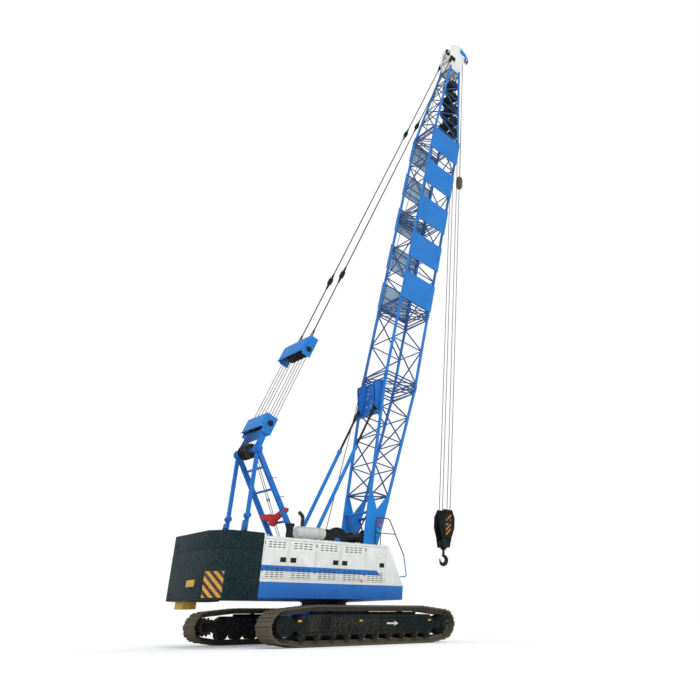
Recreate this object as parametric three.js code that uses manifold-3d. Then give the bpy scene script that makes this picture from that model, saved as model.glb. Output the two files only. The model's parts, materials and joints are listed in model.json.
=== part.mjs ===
// Lattice-boom crawler crane, in millimetres, +Z up, boom towards +X, slewing axis on Z.
import * as THREE from 'three';
import { mergeVertices } from 'three/addons/utils/BufferGeometryUtils.js';
import Module from 'manifold-3d';

const wasm = await Module();
wasm.setup();

// ---------------------------------------------------------------- driving dimensions
const SEAT = 0.3;                 // gap between faces that touch
const RUNNING = 8;                // gap between pieces that move past each other
const ROUND = 12;                 // sides of every pin and of the bore that turns on it

const TRACK = { length: 6540, height: 1120, gauge: 4670, shoe: 820, shoes: 60, thick: 170,
  endRadius: 470, endHeight: 550, bottomFlat: 4700, topFlat: 3800, groove: 34 };
const CRAWLER = { width: 640, low: 300, high: 860, half: 2430, roller: 115, rollers: 10,
  carrier: 90, wheelWidth: 440, axle: 85, hub: 275 };
const CARBODY = { half: 1080, low: 380, high: 1050, beamX: 980, beamWidth: 520, beamLow: 400,
  beamHigh: 800 };
const SLEW = { radius: 760, bore: 420 };
const DECK = { low: 1324, thick: 116, front: 1972, rear: -3105, half: 1552, skirtTop: 1760, plate: 50,
  girderY: 560, girderWide: 60, girderTop: 1830, tail: 360 };
const HOUSE = { roof: 3021, frontTop: 1307, pinClear: 21, wall: 40, leftFront: 150, hoodFront: -1960 };
const SEAMS = [-2290, -1390, -520, 400, 1230];
const DOOR = { low: 1840, high: 2960, gap: 6, post: 34 };
const WEIGHT = { rear: -4545, low: 1272, high: 3113, seam: 2610, facet: 1093, cornerX: -4150, cornerY: 1620,
  sideX: -3700, sideY: 1650, frontY: 1560, slotDeep: 430, slotHalf: 790 };
const CAB = { rear: 320, front: 2150, past: 23, outer: 1740, roof: 3180, wall: 50, slope: 240 };
const BOOM = { footX: 948, footZ: 1788, angle: 81.69, half: 709, depth: 706.5, chord: 58, lace: 28,
  joints: [7525, 10808, 15572, 20136], headFrom: 24980, headHalf: 330, headDepth: 262, footDepth: 330,
  footFrom: 2450, plate: 60, pin: 60, eye: 190 };
// The foot pins end between the houses, whose inner walls stand clear of them; so does the cab's.
const FOOT_PIN_PAST = 44;
const footReach = BOOM.half + BOOM.plate / 2 + RUNNING + FOOT_PIN_PAST;
const houseInner = footReach + HOUSE.pinClear;
const cabInner = houseInner + CAB.past;
const HEAD = { sheaveS: 26050, sheaveN: 350, sheave: 225, plate: 30, stayS: 25400, stayN: -350,
  stayY: 400 };
const ROPE = { hoist: 13, pitch: 200, spread: 95 };
const GANTRY = { x: -3210, z: 5750, half: 700, leg: 130, legFootX: -1020, legFootZ: 1980, legFootY: 680,
  stay: 100, kneeX: -3260, kneeZ: 3700, kneeY: 620, footX: -3290, footZ: 1960, footY: 590, sheave: 240 };
const STAY = { blockFrom: 560, blockTo: 1190, blockHalf: 640, bridleFrom: 3640, bridleTo: 4420,
  bridleHalf: 750,
  link: 4480, rope: 28, plates: [7560, 16780] };
const BACKSTOP = { baseX: -1330, baseZ: 2200, y: 500, pinS: 6340, pinN: -760, tube: 62, rod: 40,
  tubeLong: 4650 };
const DRUMS = { front: { x: 60, z: 3180, flange: 470, core: 300, half: 330 },
  rear: { x: -750, z: 2330, flange: 330, core: 220, half: 330 },
  luffing: { x: -1620, z: 2250, flange: 300, core: 190, half: 300 } };
const HOOK = { sheaveZ: 4330, bottomZ: 2630, blockTop: 4780, blockLow: 3330 };

const COLOURS = {
  ivory: [0xe9eae3, 0.5, 0.1], blue: [0x0a6cc0, 0.45, 0.2], mud: [0x6a5240, 0.95, 0.05],
  dark: [0x22272a, 0.7, 0.3], iron: [0x3c3f40, 0.6, 0.6], steel: [0x8c9298, 0.4, 0.8],
  glass: [0x9fb8c0, 0.1, 0.0], seat: [0x2a2a2c, 0.9, 0.0], cream: [0xe9e6da, 0.5, 0.1],
  silver: [0xb4b2ad, 0.45, 0.7], teal: [0x14303a, 0.55, 0.1], rope: [0x4b4a48, 0.7, 0.6],
  yellow: [0xd8b021, 0.6, 0.1],
};

// ---------------------------------------------------------------- shape helpers
const rad = THREE.MathUtils.degToRad;

// A bore's corners stand outside the circle, so that it clears its pin however the two are turned.
const FACET = 360 / ROUND;
const boreOf = (pinRadius) => (pinRadius + SEAT) / Math.cos(rad(FACET / 2));
const hole = (pinRadius, turn = 0) => arc(0, 0, boreOf(pinRadius), turn + FACET / 2,
  turn + 360 - FACET / 2, ROUND - 1);

function solid(geometry) {
  const plain = geometry.index ? geometry.toNonIndexed() : geometry.clone();
  plain.deleteAttribute('normal');
  plain.deleteAttribute('uv');
  const merged = mergeVertices(plain, 1e-3);
  const mesh = new wasm.Mesh({
    numProp: 3,
    vertProperties: new Float32Array(merged.attributes.position.array),
    triVerts: new Uint32Array(merged.index.array),
  });
  return new wasm.Manifold(mesh);
}

function geometryOf(body) {
  const mesh = body.getMesh();
  const geometry = new THREE.BufferGeometry();
  geometry.setAttribute('position', new THREE.BufferAttribute(new Float32Array(mesh.vertProperties), 3));
  geometry.setIndex(new THREE.BufferAttribute(new Uint32Array(mesh.triVerts), 1));
  geometry.computeVertexNormals();
  return geometry;
}

const join = (...bodies) => bodies.flat().reduce((whole, body) => whole.add(body));
const cut = (whole, ...bodies) => bodies.flat().reduce((left, body) => left.subtract(body), whole);

function box([x0, x1], [y0, y1], [z0, z1]) {
  const geometry = new THREE.BoxGeometry(x1 - x0, y1 - y0, z1 - z0);
  geometry.translate((x0 + x1) / 2, (y0 + y1) / 2, (z0 + z1) / 2);
  return solid(geometry);
}

// An outline in the XZ plane, given as [x, z] points, made solid from y0 to y1.
function slab(points, y0, y1, holes = []) {
  const shape = new THREE.Shape(points.map(([x, z]) => new THREE.Vector2(x, z)));
  for (const hole of holes) {
    shape.holes.push(new THREE.Path(hole.map(([x, z]) => new THREE.Vector2(x, z))));
  }
  const geometry = new THREE.ExtrudeGeometry(shape, { depth: y1 - y0, bevelEnabled: false });
  geometry.rotateX(Math.PI / 2);
  geometry.translate(0, y1, 0);
  return solid(geometry);
}

// An outline in the XY plane, made solid from z0 to z1.
function prism(points, z0, z1) {
  const shape = new THREE.Shape(points.map(([x, y]) => new THREE.Vector2(x, y)));
  const geometry = new THREE.ExtrudeGeometry(shape, { depth: z1 - z0, bevelEnabled: false });
  geometry.translate(0, 0, z0);
  return solid(geometry);
}

function aim(geometry, from, to) {
  const a = new THREE.Vector3(...from);
  const b = new THREE.Vector3(...to);
  const turn = new THREE.Quaternion().setFromUnitVectors(new THREE.Vector3(0, 1, 0),
    b.clone().sub(a).normalize());
  geometry.applyQuaternion(turn);
  geometry.translate((a.x + b.x) / 2, (a.y + b.y) / 2, (a.z + b.z) / 2);
  return geometry;
}

function rod(from, to, radius, sides = 8, turn = 0) {
  const length = new THREE.Vector3(...from).distanceTo(new THREE.Vector3(...to));
  return solid(aim(new THREE.CylinderGeometry(radius, radius, length, sides, 1, false, rad(turn)), from,
    to));
}

// A round bar along Y.
const pinY = (x, z, radius, y0, y1, sides = ROUND, turn = 0) =>
  rod([x, y0, z], [x, y1, z], radius, sides, turn);

// A square bar between two points of one XZ plane.
function beam(from, to, wide, deep) {
  const [x0, y0, z0] = from;
  const [x1, y1, z1] = to;
  const length = Math.hypot(x1 - x0, y1 - y0, z1 - z0);
  const geometry = new THREE.BoxGeometry(length, wide, deep);
  const along = new THREE.Vector3(x1 - x0, y1 - y0, z1 - z0).normalize();
  geometry.applyQuaternion(new THREE.Quaternion().setFromUnitVectors(new THREE.Vector3(1, 0, 0), along));
  geometry.translate((x0 + x1) / 2, (y0 + y1) / 2, (z0 + z1) / 2);
  return solid(geometry);
}

// A body of revolution about Y; profile points are [radius, y].
function wheel(profile, turn = FACET / 2) {
  const points = [...profile, profile[0]].map(([r, y]) => new THREE.Vector2(r, y));
  return solid(new THREE.LatheGeometry(points, ROUND, rad(turn)));
}

const arc = (x, z, r, from, to, steps) => Array.from({ length: steps + 1 }, (_, i) => {
  const a = rad(from + (to - from) * i / steps);
  return [x + r * Math.cos(a), z + r * Math.sin(a)];
});

// ---------------------------------------------------------------- scene graph helpers
const crane = new THREE.Group();

function materialOf(name) {
  const [color, roughness, metalness] = COLOURS[name];
  return new THREE.MeshStandardMaterial({ color, roughness, metalness });
}

function piece(name, body, colour, parent = crane) {
  const mesh = new THREE.Mesh(geometryOf(body), materialOf(colour));
  mesh.name = name;
  parent.add(mesh);
  return mesh;
}

// A turning or sliding unit: its pieces are drawn about its own pivot.
function unit(name, x, y, z, degrees = 0, parent = crane) {
  const group = new THREE.Group();
  group.name = name;
  group.position.set(x, y, z);
  group.rotation.y = -rad(degrees);
  parent.add(group);
  return group;
}

const SIDES = [['right', -1], ['left', 1]];
const yRange = (side, a, b) => (side < 0 ? [-b, -a] : [a, b]);

// ---------------------------------------------------------------- undercarriage
// The track's outline, drawn in by a given depth: flats below and above, arcs at the ends.
function loop(inset) {
  const { endRadius, endHeight, bottomFlat, topFlat, height, length } = TRACK;
  const endX = length / 2 - endRadius;
  const r = endRadius - inset;
  return [
    [-bottomFlat / 2, inset], [bottomFlat / 2, inset],
    ...arc(endX, endHeight, r, -78, 80, 10),
    [topFlat / 2, height - inset], [-topFlat / 2, height - inset],
    ...arc(-endX, endHeight, r, 100, 258, 10),
  ];
}

// The same outline with a groove between every two shoes.
function shoeLoop() {
  const path = loop(0).map(([x, z]) => new THREE.Vector2(x, z));
  path.push(path[0].clone());
  const lengths = [0];
  for (let i = 1; i < path.length; i += 1) {
    lengths.push(lengths[i - 1] + path[i].distanceTo(path[i - 1]));
  }
  const total = lengths[lengths.length - 1];
  const pointAt = (distance, depth) => {
    const d = (distance + total) % total;
    const i = Math.max(1, lengths.findIndex((value) => value >= d));
    const along = path[i].clone().sub(path[i - 1]).normalize();
    const p = path[i - 1].clone().addScaledVector(along, d - lengths[i - 1]);
    return [p.x - along.y * depth, p.y + along.x * depth];
  };
  const pitch = total / TRACK.shoes;
  return Array.from({ length: TRACK.shoes }, (_, i) => [
    pointAt(i * pitch + TRACK.groove, 0),
    pointAt((i + 1) * pitch - TRACK.groove, 0),
    pointAt((i + 1) * pitch, TRACK.groove),
  ]).flat();
}

const trackEndX = TRACK.length / 2 - TRACK.endRadius;
const ARC_STEP = 158 / 10;
const wheelRadius = (TRACK.endRadius - TRACK.thick) * Math.cos(rad(ARC_STEP / 2)) - SEAT;

function track(side) {
  const y = side * TRACK.gauge / 2;
  return slab(shoeLoop(), y - TRACK.shoe / 2, y + TRACK.shoe / 2, [loop(TRACK.thick)]);
}

function crawlerFrame(side) {
  const y = side * TRACK.gauge / 2;
  const { width, low, high, half, roller, rollers, carrier, axle, hub, wheelWidth } = CRAWLER;
  const outline = [[-half, 420], [-half + 160, low], [half - 160, low], [half, 420], [half, 720],
    [half - 200, high],
    [-half + 200, high], [-half, 720]];
  const parts = [slab(outline, y - width / 2, y + width / 2)];
  for (const end of [-1, 1]) {
    const outer = [[end * (half - 60), 430], [end * (trackEndX + 130), 430], [end * (trackEndX + 170), 550],
      [end * (trackEndX + 130), 670], [end * (half - 60), 670]];
    const outlineOut = end > 0 ? outer : outer.reverse();
    for (const face of [-1, 1]) {
      const plateY = y + face * (width / 2 - 25);
      parts.push(slab(outlineOut, plateY - 25, plateY + 25));
    }
    const reach = width / 2 + (end < 0 ? 0 : 40);
    parts.push(pinY(end * trackEndX, TRACK.endHeight, axle, y - reach, y + reach));
  }
  const hubIn = y + side * (wheelWidth / 2 + RUNNING);
  const hubOut = y + side * (width / 2 + 62);
  parts.push(pinY(-trackEndX, TRACK.endHeight, hub, Math.min(hubIn, hubOut), Math.max(hubIn, hubOut)));
  parts.push(pinY(trackEndX, TRACK.endHeight, wheelRadius, y - wheelWidth / 4, y + wheelWidth / 4));
  parts.push(pinY(trackEndX, TRACK.endHeight, wheelRadius - 45, y - wheelWidth / 2, y + wheelWidth / 2));
  const rollerY = width / 2 - 60;
  for (let i = 0; i < rollers; i += 1) {
    const x = -TRACK.bottomFlat / 2 + 120 + (TRACK.bottomFlat - 240) * i / (rollers - 1);
    parts.push(pinY(x, TRACK.thick + SEAT + roller, roller, y - rollerY, y + rollerY, 8));
  }
  for (const x of [-1250, 0, 1250]) {
    parts.push(pinY(x, TRACK.height - TRACK.thick - SEAT - carrier, carrier, y - 150, y + 150, 8));
  }
  for (const x of [-1690, -1430]) {
    const ledge = yRange(side, TRACK.gauge / 2 + width / 2 - 10, TRACK.gauge / 2 + width / 2 + 55);
    parts.push(box([x, x + 22], ledge, [430, 800]));
  }
  return join(parts);
}

function sprocket() {
  const half = CRAWLER.wheelWidth / 2;
  const teeth = 14;
  const points = Array.from({ length: teeth * 2 }, (_, i) => {
    const tip = i % 2 === 0;
    return [-1, 1].map((part) => {
      const a = Math.PI * (i + part * (tip ? 0.22 : 0.28)) / teeth;
      const r = tip ? wheelRadius : wheelRadius - 55;
      return [r * Math.cos(a), r * Math.sin(a)];
    });
  }).flat();
  return slab(points, -half, half, [hole(CRAWLER.axle)]);
}

for (const [name, side] of SIDES) {
  piece(`${name}_track`, track(side), 'mud');
  piece(`${name}_crawler_frame`, crawlerFrame(side), 'dark');
  const y = side * TRACK.gauge / 2;
  const drive = unit(`${name}_sprocket_pivot`, -trackEndX, y, TRACK.endHeight);
  piece(`${name}_sprocket`, sprocket(), 'mud', drive);
}

function carbody() {
  const { half, low, high, beamX, beamWidth, beamLow, beamHigh } = CARBODY;
  const reach = TRACK.gauge / 2 - CRAWLER.width / 2 - SEAT;
  const chamfer = 320;
  const plan = [[-half, -half + chamfer], [-half + chamfer, -half], [half - chamfer, -half],
    [half, -half + chamfer],
    [half, half - chamfer], [half - chamfer, half], [-half + chamfer, half], [-half, half - chamfer]];
  const beams = [-1, 1].map((end) => {
    const x = end * beamX;
    return box([x - beamWidth / 2, x + beamWidth / 2], [-reach, reach], [beamLow, beamHigh]);
  });
  return join(prism(plan, low, high), beams);
}

piece('carbody', carbody(), 'blue');
const ringLow = CARBODY.high + SEAT;
const ringHigh = DECK.low - SEAT;
const turnZ = (points) => {
  const lathe = new THREE.LatheGeometry([...points, points[0]].map(([r, z]) => new THREE.Vector2(r, z)), 24);
  lathe.rotateX(Math.PI / 2);
  return solid(lathe);
};
piece('slewing_ring', turnZ([[SLEW.bore, ringLow], [SLEW.radius, ringLow], [SLEW.radius, ringHigh - 60],
  [SLEW.radius - 70, ringHigh - 60], [SLEW.radius - 70, ringHigh], [SLEW.bore, ringHigh]]), 'iron');

// ---------------------------------------------------------------- upper structure
const upper = unit('upper_pivot', 0, 0, 0);
const deckTop = DECK.low + DECK.thick;

function revolvingFrame() {
  const { low, front, rear, half, skirtTop, plate, girderY, girderWide, girderTop, tail } = DECK;
  const parts = [box([rear, front], [-half, half], [low, deckTop])];
  parts.push(box([rear, front], [-half, -half + plate], [low, skirtTop]));
  parts.push(box([rear, HOUSE.leftFront], [half - plate, half], [low, skirtTop]));
  parts.push(box([front - plate, front], [-half, -houseInner], [low, skirtTop]));
  for (const side of [-1, 1]) {
    const y = side * girderY;
    parts.push(box([rear - tail, BOOM.footX + 150], [y - girderWide / 2, y + girderWide / 2],
      [deckTop - 80, girderTop]));
    const footY = side * GANTRY.legFootY;
    parts.push(box([GANTRY.legFootX - 190, GANTRY.legFootX + 190], [footY - 95, footY + 95],
      [deckTop - 20, GANTRY.legFootZ - 90]));
    for (const face of [-1, 1]) {
      const lugY = side * BOOM.half + face * (BOOM.plate / 2 + RUNNING + 18);
      parts.push(slab([[BOOM.footX - 260, deckTop - 20], [BOOM.footX + 260, deckTop - 20],
        ...arc(BOOM.footX, BOOM.footZ, 130, 0, 180, 8)], lugY - 18, lugY + 18));
    }
    const pinFrom = 2 * BOOM.half - footReach;
    parts.push(pinY(BOOM.footX, BOOM.footZ, BOOM.pin, ...yRange(side, pinFrom, footReach)));
    const tailY = side * GANTRY.footY;
    parts.push(box([rear - tail, rear + 10], [tailY - 90, tailY + 90], [deckTop, GANTRY.footZ - 40]));
    const baseY = side * BACKSTOP.y;
    for (const face of [-1, 1]) {
      const lugY = baseY + face * (BACKSTOP.tube + RUNNING + 12);
      parts.push(slab([[BACKSTOP.baseX - 150, deckTop - 20], [BACKSTOP.baseX + 150, deckTop - 20],
        ...arc(BACKSTOP.baseX, BACKSTOP.baseZ, 80, 0, 180, 6)], lugY - 12, lugY + 12));
    }
    const baseReach = BACKSTOP.tube + RUNNING + 30;
    parts.push(pinY(BACKSTOP.baseX, BACKSTOP.baseZ, 38, baseY - baseReach, baseY + baseReach));
  }
  for (const drum of Object.values(DRUMS)) {
    const edge = drum.half + RUNNING;
    for (const side of [-1, 1]) {
      const [y0, y1] = yRange(side, edge, edge + 40);
      parts.push(slab([[drum.x - 210, deckTop - 20], [drum.x + 210, deckTop - 20],
        ...arc(drum.x, drum.z, 120, 0, 180, 6)],
        y0, y1));
    }
    parts.push(pinY(drum.x, drum.z, 60, -edge - 10, edge + 10));
  }
  return join(parts);
}
piece('revolving_frame', revolvingFrame(), 'blue', upper);

// Side elevation of a house: straight at the rear, raked at the front where it is asked for.
function houseOutline(rear, frontLow, frontHigh, inset = 0) {
  const low = DECK.skirtTop + SEAT;
  const drop = inset > 0 ? 100 : 0;
  return [[rear + inset, low - drop], [frontLow - inset, low - drop],
    [frontHigh - inset, HOUSE.roof - inset],
    [rear + inset, HOUSE.roof - inset]];
}

function doorSpans(edges) {
  return edges.slice(1).map((end, i) => [edges[i] + DOOR.post / 2, end - DOOR.post / 2]);
}

function sideHouse(side, frontLow, frontHigh, spans) {
  const [y0, y1] = yRange(side, houseInner, DECK.half);
  const shell = slab(houseOutline(DECK.rear, frontLow, frontHigh), y0, y1);
  const hollow = slab(houseOutline(DECK.rear, frontLow, frontHigh, HOUSE.wall), y0 + HOUSE.wall,
    y1 - HOUSE.wall);
  const outer = yRange(side, DECK.half - HOUSE.wall - 20, DECK.half + 20);
  return cut(shell, hollow, spans.map(([a, b]) => box([a, b], outer, [DOOR.low, DOOR.high])));
}

// Two hinge barrels on the door's edge reach across the gap to the post.
function hingeBarrels(high) {
  return [160, high - 240].map((z) => rod([0, 0, z], [0, 0, z + 80], DOOR.gap - SEAT, 8));
}

// Each door is drawn about its hinge line, at the edge of its outer face.
function door(name, side, [a, b], hingeAtRear) {
  const hingeX = hingeAtRear ? a + DOOR.gap : b - DOOR.gap;
  const width = b - a - 2 * DOOR.gap;
  const pivot = unit(`${name}_pivot`, hingeX, side * DECK.half, DOOR.low + DOOR.gap, 0, upper);
  const across = hingeAtRear ? [0, width] : [-width, 0];
  const high = DOOR.high - DOOR.low - 2 * DOOR.gap;
  const leaf = box(across, yRange(side, -HOUSE.wall, 0), [0, high]);
  piece(name, join(leaf, hingeBarrels(high)), 'ivory', pivot);
}

const rightSpans = doorSpans([DECK.rear + 20, ...SEAMS]);
const leftSpans = doorSpans([DECK.rear + 20, ...SEAMS.slice(0, 3)]);
piece('house_right', sideHouse(-1, DECK.front, HOUSE.frontTop, rightSpans), 'ivory', upper);
piece('house_left', sideHouse(1, HOUSE.leftFront, HOUSE.leftFront, leftSpans), 'ivory', upper);
rightSpans.forEach((span, i) => door(`right_door_${i + 1}`, -1, span, [0, 2, 4].includes(i)));
leftSpans.forEach((span, i) => door(`left_door_${i + 1}`, 1, span, i !== 1));

function centreHood() {
  const half = houseInner - SEAT;
  const low = DECK.girderTop + SEAT;
  const rear = DECK.rear + 20;
  const shell = box([rear, HOUSE.hoodFront], [-half, half], [low, HOUSE.roof]);
  const hollow = box([rear + HOUSE.wall, HOUSE.hoodFront - HOUSE.wall],
    [-half + HOUSE.wall, half - HOUSE.wall],
    [low - 50, HOUSE.roof - HOUSE.wall]);
  return cut(shell, hollow);
}
piece('centre_hood', centreHood(), 'ivory', upper);
piece('engine', box([DECK.rear + 170, -2090], [-490, 490], [deckTop + SEAT, 2440]), 'dark', upper);

// ---------------------------------------------------------------- counterweight
function weightPlan() {
  const { rear, facet, cornerX, cornerY, sideX, sideY, frontY, slotDeep, slotHalf } = WEIGHT;
  const face = DECK.rear - SEAT;
  const right = [[rear, -facet], [cornerX, -cornerY], [sideX, -sideY], [face, -frontY], [face, -slotHalf],
    [face - slotDeep, -slotHalf]];
  const left = right.map(([x, y]) => [x, -y]).reverse();
  return [...right, ...left];
}
const stepBlock = box([-4120, -3760], [870, 1450], [1060, WEIGHT.low + 10]);
piece('counterweight_lower', join(prism(weightPlan(), WEIGHT.low, WEIGHT.seam - SEAT), stepBlock), 'teal',
  upper);
piece('counterweight_upper', prism(weightPlan(), WEIGHT.seam, WEIGHT.high), 'teal', upper);

// ---------------------------------------------------------------- cab
const cabLow = deckTop + SEAT;
const cabSide = (grow) => [[CAB.rear - grow, cabLow - grow], [CAB.front + grow, cabLow - grow],
  [CAB.front + grow, 2180], [CAB.front - CAB.slope + grow, CAB.roof + grow],
    [CAB.rear - grow, CAB.roof + grow]];
const cabDoorSpan = { x: [700, 1640], z: [cabLow + 110, CAB.roof - 170] };

function cabShell() {
  const { outer, wall, rear, roof, front } = CAB;
  const inner = cabInner;
  const hollow = slab(cabSide(-wall), inner + wall, outer - wall);
  const doorway = box(cabDoorSpan.x, [outer - wall - 20, outer + 20], cabDoorSpan.z);
  const rightWindow = box([560, 1720], [inner - 20, inner + wall + 20], [2260, 2980]);
  const rearWindow = box([rear - 20, rear + wall + 20], [inner + 130, outer - 130], [2320, 2960]);
  const frontWindow = box([front - CAB.slope - 160, front + 20], [inner + 90, outer - 90], [2230, 3040]);
  const lowWindow = box([front - wall - 20, front + 20], [inner + 130, outer - 130], [1640, 2090]);
  const sideLight = box([1700, 1880], [outer - wall - 20, outer + 20], [2260, 2900]);
  const roofLight = box([900, 1500], [inner + 180, outer - 180], [roof - wall - 20, roof + 20]);
  return cut(slab(cabSide(0), inner, outer), hollow, doorway, rightWindow, rearWindow, frontWindow,
    lowWindow,
    sideLight, roofLight);
}
piece('cab_shell', cabShell(), 'ivory', upper);

const cabDoorPivot = unit('cab_door_pivot', cabDoorSpan.x[0] + DOOR.gap, CAB.outer,
  cabDoorSpan.z[0] + DOOR.gap, 0,
  upper);
function cabDoor() {
  const wide = cabDoorSpan.x[1] - cabDoorSpan.x[0] - 2 * DOOR.gap;
  const high = cabDoorSpan.z[1] - cabDoorSpan.z[0] - 2 * DOOR.gap;
  const leaf = box([0, wide], [-CAB.wall, 0], [0, high]);
  return cut(join(leaf, hingeBarrels(high)), box([80, wide - 80], [-CAB.wall - 10, 10],
    [high - 780, high - 90]));
}
piece('cab_door', cabDoor(), 'ivory', cabDoorPivot);

const pane = 8;
const rake = CAB.slope / (CAB.roof - 2180);
const frontGlassX = (z) => CAB.front - 22 - (z - 2180) * rake;
piece('cab_front_glass', slab([[frontGlassX(2231), 2231], [frontGlassX(2231) + pane, 2231],
  [frontGlassX(3039) + pane, 3039], [frontGlassX(3039), 3039]], cabInner + 90 + SEAT, CAB.outer - 90 - SEAT),
'glass', upper);

function seat() {
  const y = (cabInner + CAB.outer) / 2;
  const floor = cabLow + CAB.wall + SEAT;
  return join(
    box([760, 1060], [y - 200, y + 200], [floor, floor + 330]),
    box([640, 1140], [y - 250, y + 250], [floor + 320, floor + 440]),
    beam([690, y, floor + 380], [570, y, floor + 980], 460, 110),
    box([1340, 1480], [y - 200, y + 200], [floor, floor + 760]),
    box([700, 1420], [y - 60, y + 60], [floor, floor + 60]),
  );
}
piece('operator_seat', seat(), 'seat', upper);

// ---------------------------------------------------------------- gantry
function gantry() {
  const { x, z, half, leg, legFootX, legFootZ, legFootY, stay, kneeX, kneeZ, kneeY, footX, footZ, footY } =
    GANTRY;
  const parts = [pinY(x, z, 60, -half, half)];
  const legAt = (height) => {
    const t = (z - height) / (z - legFootZ);
    return [x + t * (legFootX - x), half - leg / 2 + t * (legFootY - half + leg / 2)];
  };
  for (const side of [-1, 1]) {
    const top = side * (half - leg / 2);
    parts.push(beam([x - 40, top, z + 70], [legFootX, side * legFootY, legFootZ], leg, leg));
    parts.push(box([legFootX - 150, legFootX + 150], [side * legFootY - 80, side * legFootY + 80],
      [legFootZ - 90 + SEAT, legFootZ + 20]));
    parts.push(beam([x, top, z + 40], [kneeX, side * kneeY, kneeZ], stay, stay));
    parts.push(beam([kneeX, side * kneeY, kneeZ + 60], [footX, side * footY, footZ], stay, stay));
    parts.push(pinY(kneeX, kneeZ, 95, side * kneeY - 75, side * kneeY + 75, 8));
    parts.push(box([footX - 110, footX + 110], [side * footY - 75, side * footY + 75],
      [footZ - 40 + SEAT, footZ + 60]));
    parts.push(slab(arc(x, z, 150, 0, 330, 11), Math.min(top - 40, top + 40), Math.max(top - 40, top + 40)));
  }
  for (const height of [5230, 4585, 3640]) {
    const [px, py] = legAt(height);
    parts.push(pinY(px, height, 42, -py, py, 6));
  }
  return join(parts);
}
piece('gantry', gantry(), 'blue', upper);

function sheaves(count, radius, pitch, bore, groove = radius * 0.86, turn = FACET / 2) {
  const width = 46;
  const half = width / 2;
  const low = -(count - 1) / 2 * pitch;
  const profile = [];
  for (let i = 0; i < count; i += 1) {
    const y = low + i * pitch;
    profile.push([radius, y - half], [groove, y - half * 0.72], [groove, y + half * 0.72],
      [radius, y + half]);
    if (i < count - 1) {
      profile.push([bore + 40, y + half], [bore + 40, y + pitch - half]);
    }
  }
  const edge = -low + half;
  return wheel([[bore, -edge], ...profile, [bore, edge]], turn);
}

const gantrySheavePivot = unit('gantry_sheave_pivot', GANTRY.x, 0, GANTRY.z, 0, upper);
piece('gantry_sheaves', sheaves(4, GANTRY.sheave, 120, boreOf(60)), 'iron', gantrySheavePivot);

function drum({ flange, core, half }, bore) {
  const edge = 26;
  return wheel([[bore, -half], [flange, -half], [flange, -half + edge], [core, -half + edge],
    [core, half - edge],
    [flange, half - edge], [flange, half], [bore, half]]);
}
for (const [name, place] of Object.entries(DRUMS)) {
  const pivot = unit(`${name}_drum_pivot`, place.x, 0, place.z, 0, upper);
  piece(`${name}_drum`, drum(place, boreOf(60)), 'iron', pivot);
}

// ---------------------------------------------------------------- roof fittings
const roofTop = HOUSE.roof + SEAT;
function muffler() {
  const y = -1000;
  return join(
    rod([-1850, y, 3290], [-860, y, 3290], 180, 14),
    box([-1640, -1560], [y - 70, y + 70], [roofTop, 3290]),
    box([-1120, -1040], [y - 70, y + 70], [roofTop, 3290]),
    rod([-1640, y, 3290], [-1640, y, 3760], 62, 8),
    rod([-1640, y, 3740], [-1790, y, 3900], 62, 8),
  );
}
piece('muffler', muffler(), 'silver', upper);
piece('intake_stack', wheelUp([[0, 0], [95, 0], [95, 300], [138, 430], [138, 470], [0, 470]], -2150, -1180,
  roofTop),
  'dark', upper);

// A body of revolution about an upright axis.
function wheelUp(profile, x, y, z) {
  const lathe = new THREE.LatheGeometry(profile.map(([r, h]) => new THREE.Vector2(r, h)), 14);
  lathe.rotateX(Math.PI / 2);
  lathe.translate(x, y, z);
  return solid(lathe);
}

// ---------------------------------------------------------------- boom
// Drawn about the foot pin: X runs along the boom, Z towards its rear face.
const boom = unit('boom_pivot', BOOM.footX, 0, BOOM.footZ, BOOM.angle, upper);
const [jointA, jointB, jointC, tipFrom] = BOOM.joints;

function between(s, points) {
  const i = Math.max(1, points.findIndex(([at]) => at >= s));
  const [s0, v0] = points[i - 1];
  const [s1, v1] = points[i];
  return v0 + (v1 - v0) * (s - s0) / (s1 - s0);
}
const halfWidth = (s) => between(s, [[0, BOOM.half], [tipFrom, BOOM.half], [BOOM.headFrom, BOOM.headHalf],
  [30000, BOOM.headHalf]]);
const halfDepth = (s) => between(s, [[0, BOOM.footDepth], [BOOM.footFrom, BOOM.footDepth],
  [jointA - 120, BOOM.depth], [tipFrom, BOOM.depth], [BOOM.headFrom, BOOM.headDepth],
    [30000, BOOM.headDepth]]);
const corner = (s, sy, sz) => [s, sy * halfWidth(s), sz * halfDepth(s)];
const FACES = [
  [[-1, -1], [-1, 1]], [[1, 1], [1, -1]],
  [[-1, 1], [1, 1]], [[1, -1], [-1, -1]],
];

function endFrame(s) {
  return FACES.map(([a, b]) => rod(corner(s, ...a), corner(s, ...b), BOOM.lace, 4));
}

function lacing(s0, s1, bays, faces = FACES) {
  const parts = [];
  for (const [a, b] of faces) {
    for (let i = 0; i < bays; i += 1) {
      const from = i % 2 === 0 ? a : b;
      const to = i % 2 === 0 ? b : a;
      parts.push(rod(corner(s0 + (s1 - s0) * i / bays, ...from),
        corner(s0 + (s1 - s0) * (i + 1) / bays, ...to),
        BOOM.lace, 4));
    }
  }
  return parts;
}

function chords(s0, s1) {
  return [[-1, -1], [-1, 1], [1, -1], [1, 1]].map(([sy, sz]) => rod(corner(s0, sy, sz), corner(s1, sy, sz),
    BOOM.chord, 6));
}

function boomInsert(s0, s1, bays) {
  const inset = 90;
  return join(chords(s0 + SEAT / 2, s1 - SEAT / 2), endFrame(s0 + inset), endFrame(s1 - inset),
    lacing(s0 + inset, s1 - inset, bays));
}

const GUIDE = { s: 1610, z: 120, radius: 230, half: 420 };

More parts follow.
